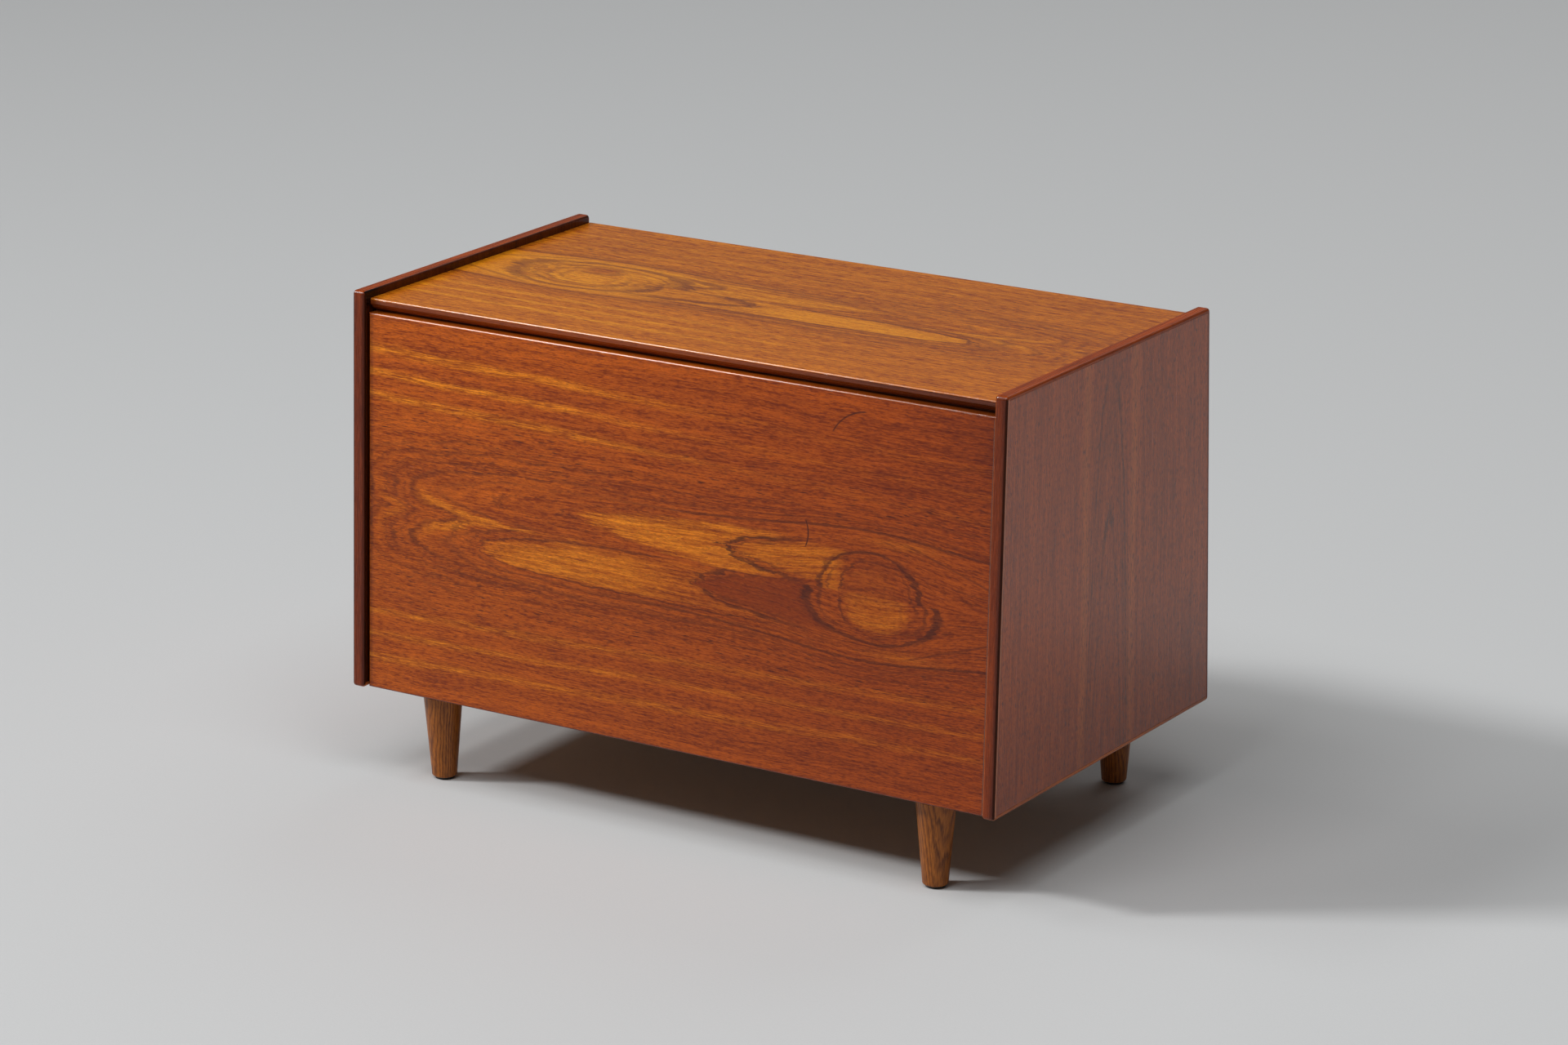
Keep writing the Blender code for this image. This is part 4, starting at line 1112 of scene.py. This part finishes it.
def make_side(name, side):
    """One rounded board, cut into its veneered middle and four mitred lippings."""
    corners = side_corners(0)
    blank = prism(corners, *sorted((side * INNER_X, side * OUTER_X)))
    round_off(blank, SIDE_CORNER, lambda edge: runs_along(edge, "x"))
    round_off(blank, SIDE_ARRIS)
    lips = side_corners(SIDE_LIP)
    places = ("bottom", "back", "top", "front")
    seams = []
    for index in range(4):
        normal = outward(corners[index], corners[(index + 1) % 4])
        seams.append((Vector(lips[index]), normal))
    middle_planes = [(in_space(point - normal * SEEN_SEAM), in_space(normal)) for point, normal in seams]
    board = kept_within(blank, middle_planes)
    add_piece(
        f"side_board_{name}",
        board,
        "carcass",
        [SIDE_VENEERS[name], SIDE_INNER],
        [f"side_panel_{name}"],
        lambda face: int(face.normal.x * side < -FACING),
    )
    for index, place in enumerate(places):
        following = (index + 1) % 4
        point, normal = seams[index]
        planes = [(in_space(point + normal * SEEN_SEAM), in_space(-normal))]
        for corner, lip, way in ((corners[index], lips[index], 1), (corners[following], lips[following], -1)):
            mitre = outward(corner, lip) * -way
            planes.append((in_space(Vector(corner) - mitre * SHUT_SEAM), in_space(mitre)))
        strip = kept_within(blank, planes)
        finishes, pick = edging_finishes(name, side, place)
        node = f"side_lipping_{name}_{place}"
        add_piece(f"side_edging_{name}_{place}", strip, "carcass", finishes, [node], pick)
    blank.free()


def board_side(face):
    """Which of a board's finishes a face takes: 0 above, 1 below, 2 on the edges."""
    if face.normal.z > FACING:
        return 0
    return 1 if face.normal.z < -FACING else 2


def make_top():
    """The veneered top board, and the strip along its front that is undercut as a finger pull."""
    strip_low, strip_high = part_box("top_front_strip")
    top_low, top_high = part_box("top_panel")
    board_front = strip_high.y + SHUT_SEAM
    board = box_shape((strip_low.x, board_front, top_low.z), (strip_high.x, top_high.y, top_high.z))
    round_off(board, SMALL_ARRIS, lambda edge: middle(edge).y > top_high.y - SMALL_ARRIS, SMALL_STEPS)
    finishes = [TOP_VENEER, INNER_VENEER, LIP_ALONG_X]
    add_piece("top_board", board, "carcass", finishes, ["top_panel"], board_side)
    front = strip_low.y
    outline = [
        (front, strip_high.z - STRIP_FACE),
        (front + STRIP_BEVEL, strip_low.z),
        (strip_high.y - SHUT_SEAM, strip_low.z),
        (strip_high.y - SHUT_SEAM, strip_high.z),
        (front, strip_high.z),
    ]
    strip = prism(outline, strip_low.x, strip_high.x)

    def at_front(edge):
        return middle(edge).y < front + SHUT_SEAM

    def at_crown(edge):
        return middle(edge).z > strip_high.z - SHUT_SEAM

    def at_foot(edge):
        return middle(edge).z < strip_low.z + SHUT_SEAM

    round_off(strip, STRIP_ARRIS, lambda edge: at_crown(edge) and at_front(edge), FINE_STEPS)
    round_off(strip, SMALL_ARRIS, lambda edge: at_front(edge) or at_foot(edge), SMALL_STEPS)
    add_piece(
        "top_pull_strip",
        strip,
        "carcass",
        [STRIP_FRONT, STRIP_ARRIS_WOOD, TOP_VENEER],
        ["top_front_strip"],
        lambda face: 2 if face.normal.z > 0.95 else int(is_arris(face) and face.normal.z > 0),
    )


def make_flap():
    """One rounded board that leans with the sides, cut into its veneered middle and four lippings."""
    parts = ["flap_panel"] + [f"flap_lipping_{place}" for place in ("top", "bottom", "left", "right")]
    low, high = extent(parts, FLAP_TURN)
    blank = box_shape(low, high)

    def at_inner_foot(edge):
        return middle(edge).z < low.z + SHUT_SEAM and middle(edge).y > high.y - SHUT_SEAM

    round_off(blank, FLAP_FOOT_ROUND, at_inner_foot, FINE_STEPS)
    round_off(blank, FLAP_ARRIS, lambda edge: middle(edge).y < low.y + SHUT_SEAM, FINE_STEPS)
    round_off(blank, SMALL_ARRIS, lambda edge: middle(edge).y > low.y + FLAP_ARRIS * 2, SMALL_STEPS)
    inside_low = low + Vector((FLAP_LIP, 0, FLAP_LIP))
    inside_high = high - Vector((FLAP_LIP, 0, FLAP_LIP))
    cuts = {
        "left": (inside_low, Vector((-1, 0, 0))),
        "right": (inside_high, Vector((1, 0, 0))),
        "bottom": (inside_low, Vector((0, 0, -1))),
        "top": (inside_high, Vector((0, 0, 1))),
    }

    def flap_finish(normal):
        """0 on the front, 1 behind, below and on the left, 2 on the arrises above and on the right, which are
        lightened as a painted highlight.
        """
        if normal.y < -FLAT:
            return 0
        return 1 + int(max(normal.z, normal.x) > 0.2)

    def within(place):
        point, normal = cuts[place]
        return point - normal * SHUT_SEAM, normal

    def beyond(place):
        point, normal = cuts[place]
        return point + normal * SHUT_SEAM, -normal

    shapes = {
        "board": [within(place) for place in cuts],
        "top": [beyond("top")],
        "bottom": [beyond("bottom")],
        "left": [beyond("left"), within("top"), within("bottom")],
        "right": [beyond("right"), within("top"), within("bottom")],
    }
    for place, planes in shapes.items():
        shape = kept_within(blank, planes)
        edge = LIP_ALONG_X if place in ("top", "bottom") else LIP_ALONG_Z
        back = INNER_VENEER if place == "board" else edge
        for face in shape.faces:
            face.material_index = flap_finish(face.normal)
        shape.transform(FLAP_TURN)
        node = "flap_panel" if place == "board" else f"flap_lipping_{place}"
        name = "flap_board" if place == "board" else f"flap_edging_{place}"
        slot = "teak_veneer" if place == "board" else "teak_solid"
        add_piece(name, shape, "flap", [FLAP_VENEER, back, FLAP_ARRIS_WOOD], [node])
    blank.free()


def make_stay(name, side):
    """A slotted bar, the bracket that it turns on and the stud that it slides on."""
    body = f"stay_arm_{name}"
    pivot = joint_place(f"stay_pivot_{name}")
    pivot.x = 0
    stud_low, stud_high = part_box(f"stay_stud_{name}")
    stud = (stud_low + stud_high) / 2
    stud.x = 0
    along = (stud - pivot).normalized()
    across = Vector((1, 0, 0))
    arm_turn = Matrix((across, along, across.cross(along))).transposed().to_4x4()
    arm_turn = Matrix.Translation(pivot) @ arm_turn

    # The bar, with an eye for the rivet and a slot for the stud
    low, high = extent([body], arm_turn)
    half = (high.z - low.z) / 2
    slot = stadium((stud - pivot).length, high.y - half, STUD_RADIUS + SLOT_ROOM)
    eye = arc((0, 0), RIVET_RADIUS, 0, 360 - 360 / EYE_POINTS, EYE_POINTS - 1)
    bar = pierced(stadium(0, high.y - half, half), [eye, slot], low.x, high.x)
    round_off(bar, METAL_ARRIS, steps=SMALL_STEPS)
    bar.transform(arm_turn)
    add_piece(f"stay_bar_{name}", bar, body, [BRASS], [body])

    # The bracket: a screwed plate with a lug
    base_low, base_high = extent([f"stay_bracket_{name}"], FLAP_TURN)
    place = FLAP_TURN.inverted() @ pivot
    plate = box_shape(base_low, (base_high.x, base_low.y + PLATE_THICK, base_high.z))
    free_edge = base_low.x if side > 0 else base_high.x

    def at_free_corner(edge):
        return abs(middle(edge).x - free_edge) < SHUT_SEAM and runs_along(edge, "y")

    round_off(plate, PLATE_CORNER, at_free_corner)
    round_off(plate, METAL_ARRIS, steps=SMALL_STEPS)
    lug_outer = base_high.x if side > 0 else base_low.x
    lug_half = base_high.y - place.y
    ear = [
        (base_low.y, place.z - lug_half),
        *arc((place.y, place.z), lug_half, -90, 90, ROUND_END_STEPS),
        (base_low.y, place.z + lug_half),
    ]
    lug = prism(ear, *sorted((lug_outer, lug_outer - side * PLATE_THICK)))
    round_off(lug, METAL_ARRIS, steps=SMALL_STEPS)
    middle_x = (base_low.x + base_high.x) / 2 - side * PLATE_THICK / 2
    screws = []
    for way in (-1, 1):
        seat = (middle_x, base_low.y + PLATE_THICK, place.z + way * BRACKET_SCREW_SPREAD)
        screws.append(slotted_screw("bracket", seat, (0, 1, 0)))
    bracket = joined(plate, lug, *screws)
    bracket.transform(FLAP_TURN)
    add_piece(f"stay_hanger_{name}", bracket, "flap", [BRASS], [f"stay_bracket_{name}"])

    # The rivet that joins them
    rivet_low, rivet_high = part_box(f"stay_rivet_{name}")
    near, far = sorted((abs(rivet_low.x), abs(rivet_high.x)))
    radius = (rivet_high.y - rivet_low.y) / 2
    profile = [
        *dome(radius, far - RIVET_DOME, RIVET_DOME),
        (radius, far - RIVET_HEAD),
        (RIVET_RADIUS, far - RIVET_HEAD),
        (RIVET_RADIUS, near + RIVET_HEAD),
        (radius, near + RIVET_HEAD),
        *reversed(dome(radius, near + RIVET_DOME, -RIVET_DOME)),
    ]
    rivet = turned(profile, pivot, (side, 0, 0))
    add_piece(f"stay_pivot_pin_{name}", rivet, "flap", [BRASS], [f"stay_rivet_{name}"])

    # The shoulder stud in the side
    near, far = sorted((abs(stud_low.x), abs(stud_high.x)))
    radius = (stud_high.y - stud_low.y) / 2
    arm_near, arm_far = sorted((abs(low.x), abs(high.x)))
    collar = arm_far + SLOT_ROOM
    profile = [
        (0, far),
        (STUD_RADIUS, far),
        (STUD_RADIUS, INNER_X - SLOT_ROOM),
        (STUD_COLLAR, INNER_X - SLOT_ROOM),
        (STUD_COLLAR, collar),
        (STUD_RADIUS, collar),
        (STUD_RADIUS, arm_near - SLOT_ROOM),
        (radius, arm_near - SLOT_ROOM),
        *reversed(dome(radius, near + STUD_DOME, -STUD_DOME)),
    ]
    pin = turned(profile, stud, (side, 0, 0))
    add_piece(f"stay_slide_pin_{name}", pin, "carcass", [BRASS], [f"stay_stud_{name}"])


def make_shelf():
    """The half-depth shelf with its front lipping, and the four pegs under it."""
    low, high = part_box("shelf")
    blank = box_shape(low, high)

    def along_front(edge):
        return middle(edge).y < low.y + SHUT_SEAM and runs_along(edge, "x")

    round_off(blank, SHELF_ROUND, along_front)
    round_off(blank, SMALL_ARRIS, lambda edge: middle(edge).y > high.y - SHUT_SEAM, SMALL_STEPS)
    seam = low + Vector((0, SIDE_LIP, 0))
    ahead = Vector((0, -1, 0))
    board = painted(kept_within(blank, [(seam - ahead * SEEN_SEAM, ahead)]), 0)
    edging = painted(kept_within(blank, [(seam + ahead * SEEN_SEAM, -ahead)]), 1)
    blank.free()
    shelf = joined(board, edging)
    add_piece("shelf_board", shelf, "carcass", [INNER_VENEER, LIP_ALONG_X], ["shelf"])
    for end in ENDS:
        for name, side in SIDES:
            node = f"shelf_peg_{end}_{name}"
            peg_low, peg_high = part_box(node)
            radius = (peg_high.z - peg_low.z) / 2
            near, far = sorted((abs(peg_low.x), abs(peg_high.x)))
            profile = [
                (0, far),
                (radius, far),
                (radius, INNER_X - SHUT_SEAM),
                (PEG_COLLAR, INNER_X - SHUT_SEAM),
                (PEG_COLLAR, INNER_X - PEG_COLLAR_THICK),
                (radius, INNER_X - PEG_COLLAR_THICK),
                *reversed(dome(radius, near + PEG_DOME, -PEG_DOME)),
            ]
            centre = (peg_low + peg_high) / 2
            peg = turned(profile, (0, centre.y, centre.z), (side, 0, 0))
            add_piece(f"shelf_pin_{end}_{name}", peg, "carcass", [BRASS], [node])


def make_catch():
    """A magnetic catch with two pole strips, and the plate on the flap that it holds."""
    low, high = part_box("catch_magnet")
    body = box_shape(low + Vector((0, POLE_PROUD, 0)), high)
    round_off(body, CATCH_ROUND, steps=CATCH_STEPS)
    parts = [painted(body, 0)]
    level = (low.z + high.z) / 2
    reach = (high.x - low.x) * POLE_REACH
    for way in (-1, 1):
        pole_low = (-reach, low.y, level + way * POLE_SPREAD - POLE_THICK / 2)
        pole_high = (reach, high.y - CATCH_ROUND, level + way * POLE_SPREAD + POLE_THICK / 2)
        pole = box_shape(pole_low, pole_high)
        round_off(pole, POLE_ROUND, steps=SMALL_STEPS)
        parts.append(painted(pole, 1))
        seat = (way * (high.x - CATCH_SCREW_INSET), (low.y + high.y) / 2, low.z)
        parts.append(painted(slotted_screw("catch", seat, (0, 0, -1)), 1))
    housing = joined(*parts)
    add_piece("catch_housing", housing, "carcass", [BROWN_PLASTIC, STEEL], ["catch_magnet"])
    low, high = extent(["catch_plate"], FLAP_TURN)
    plate = box_shape(low, high)
    round_off(plate, STRIKE_CORNER, lambda edge: runs_along(edge, "y"))
    round_off(plate, METAL_ARRIS, steps=SMALL_STEPS)
    screws = []
    for way in (-1, 1):
        seat = (way * (high.x - STRIKE_SCREW_INSET), high.y, (low.z + high.z) / 2)
        screws.append(slotted_screw("strike", seat, (0, 1, 0)))
    strike = joined(plate, *screws)
    strike.transform(FLAP_TURN)
    add_piece("strike_plate", strike, "flap", [STEEL], ["catch_plate"])


def make_inner_edges():
    """The stop rail and the floor's front edging, with their edges eased."""
    for node, name in (("stop_rail", "flap_stop_rail"), ("bottom_front_lipping", "floor_edging")):
        shape = bmesh.new()
        shape.from_mesh(frame["nodes"][node].data)
        bmesh.ops.remove_doubles(shape, verts=shape.verts, dist=NODE_MERGE)
        bmesh.ops.dissolve_limit(shape, angle_limit=NODE_FLAT, verts=shape.verts, edges=shape.edges)
        round_off(shape, SMALL_ARRIS, lambda edge: runs_along(edge, "x"), SMALL_STEPS)
        add_piece(name, shape, "carcass", [LIP_ALONG_X], [node])


def make_back_screws():
    """The row of screws that holds the foot of the back board to the floor board."""
    back_turn = Matrix.Rotation(SLANT, 4, "X")
    low, high = extent(["back_panel"], back_turn)
    screws = []
    for index in range(BACK_SCREWS):
        across = high.x * BACK_SCREW_REACH * (2 * index / (BACK_SCREWS - 1) - 1)
        seat = (across, high.y, low.z + BACK_SCREW_RISE)
        screws.append(slotted_screw("back", seat, (0, 1, 0)))
    row = joined(*screws)
    row.transform(back_turn)
    add_piece("back_screws", row, "carcass", [STEEL], [])


def make_leg(name):
    """A tapered leg with an eased shoulder, and the glide under its foot."""
    low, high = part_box(f"leg_{name}")
    centre = (low + high) / 2
    top_radius = (high.x - low.x) / 2
    at = (centre.x, centre.y, 0)
    shoulder = high.z - LEG_SHOULDER_HEIGHT
    foot_centre = (LEG_FOOT_RADIUS - LEG_FOOT_ROUND, low.z + LEG_FOOT_ROUND)
    profile = [
        (0, high.z),
        (top_radius - LEG_SHOULDER, high.z),
        (top_radius - LEG_EDGE_IN, shoulder + LEG_EDGE_ABOVE),
        (top_radius, shoulder - LEG_EDGE_BELOW),
        *arc(foot_centre, LEG_FOOT_ROUND, 0, -90),
        (0, low.z),
    ]
    leg = turned(profile, at, steps=LEG_STEPS)
    add_piece(f"turned_leg_{name}", leg, "carcass", [OAK], [f"leg_{name}"])
    glide_low, glide_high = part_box(f"leg_glide_{name}")
    radius = (glide_high.x - glide_low.x) / 2
    thick = low.z - glide_low.z
    profile = [
        (0, thick),
        *arc((radius - GLIDE_ROUND, thick - GLIDE_ROUND), GLIDE_ROUND, 90, 0, SMALL_STEPS),
        *arc((radius - GLIDE_ROUND, GLIDE_ROUND), GLIDE_ROUND, 0, -90, SMALL_STEPS),
        (0, 0),
    ]
    glide = turned(profile, at, steps=LEG_STEPS)
    add_piece(f"foot_glide_{name}", glide, "carcass", [BLACK_PLASTIC], [f"leg_glide_{name}"])


for side_name, side_way in SIDES:
    make_side(side_name, side_way)
    make_stay(side_name, side_way)
make_top()
make_flap()
make_shelf()
make_catch()
make_inner_edges()
make_back_screws()
for end_name in ENDS:
    for side_name, _ in SIDES:
        make_leg(f"{end_name}_{side_name}")

# Finishes of the nodes that keep their CAD shape
KEPT = {
    "back_panel": PLY,
    "bottom_panel": FLOOR_TEAK,
}
for node, thing in frame["nodes"].items():
    if node in KEPT:
        chosen = KEPT[node]
    elif node.startswith("hinge_"):
        chosen = BRASS
    elif node.startswith(("leg_bolt", "leg_insert")):
        chosen = STEEL
    else:
        continue
    thing.data.materials.clear()
    thing.data.materials.append(chosen)


def add_light(lamp, place, away):
    """A lamp with its back turned away from the case, and its width as near to X as it can be."""
    back = away.normalized()
    wide = (Vector((1, 0, 0)) - back * back.x).normalized()
    thing = bpy.data.objects.new(lamp.name, lamp)
    thing.location = place
    thing.rotation_euler = Matrix((wide, back.cross(wide), back)).transposed().to_euler()
    bpy.context.scene.collection.objects.link(thing)


def make_floor():
    """A wide sheet of grey paper with a fine tooth."""
    shape = bmesh.new()
    bmesh.ops.create_grid(shape, x_segments=1, y_segments=1, size=PAPER_REACH)
    mesh = bpy.data.meshes.new("studio_floor")
    shape.to_mesh(mesh)
    shape.free()
    finish = Finish("studio_paper")
    tooth = finish.streaks([PAPER_SPECK] * 3, 6.0, 2.0)
    low, high = ([channel * share for channel in PAPER_TONE] + [1.0] for share in PAPER_SHARES)
    shade = (tooth * 0.5 + 0.5).mix(low, high)
    mesh.materials.append(finish.close(shade, PAPER_ROUGH, tooth * PAPER_RELIEF))
    floor = bpy.data.objects.new("studio_floor", mesh)
    bpy.context.scene.collection.objects.link(floor)


def make_lights():
    """The key light, and the panels that soften its shadows."""
    key = bpy.data.lights.new("key_light", "SUN")
    key.energy = KEY_STRENGTH
    key.angle = KEY_SPREAD
    add_light(key, KEY_FROM, KEY_FROM)
    for name, place, width, length, power in PANELS:
        panel = bpy.data.lights.new(name, "AREA")
        panel.shape = "RECTANGLE"
        panel.size = width
        panel.size_y = length
        panel.energy = power
        add_light(panel, place, place - CAMERA_AIM)


def make_room():
    """Dim light from all round, with a paler wall behind the case for the lacquer to mirror."""
    world = bpy.data.worlds.new("studio")
    bpy.context.scene.world = world
    world.use_nodes = True
    tree = world.node_tree
    way = Grain(tree, tree.nodes.new("ShaderNodeTexCoord").outputs["Generated"])
    settings = {"operation": "DOT_PRODUCT"}
    towards = way.make("ShaderNodeVectorMath", settings, {0: way, 1: tuple(WALL_WAY)}, "Value")
    height = way.make("ShaderNodeSeparateXYZ", {}, {0: way}, 2)
    wall = towards.step(*WALL_BESIDE) * height.step(*WALL_ABOVE)
    tone = wall.mix((ROOM_LIGHT,) * 3 + (1.0,), (WALL_LIGHT,) * 3 + (1.0,))
    tree.links.new(tone.socket, tree.nodes["Background"].inputs["Color"])


def make_camera():
    """The camera that took the photograph, as fitted to its edges."""
    lens = bpy.data.cameras.new("camera")
    lens.sensor_width = SENSOR
    lens.lens = CAMERA_FOCAL / FRAME_WIDTH * SENSOR
    camera = bpy.data.objects.new("camera", lens)
    camera.location = CAMERA_AT
    camera.rotation_euler = (CAMERA_AIM - CAMERA_AT).to_track_quat("-Z", "Y").to_euler()
    bpy.context.scene.collection.objects.link(camera)
    bpy.context.scene.camera = camera


make_floor()
make_lights()
make_room()
make_camera()
bpy.context.scene.view_settings.view_transform = "Standard"
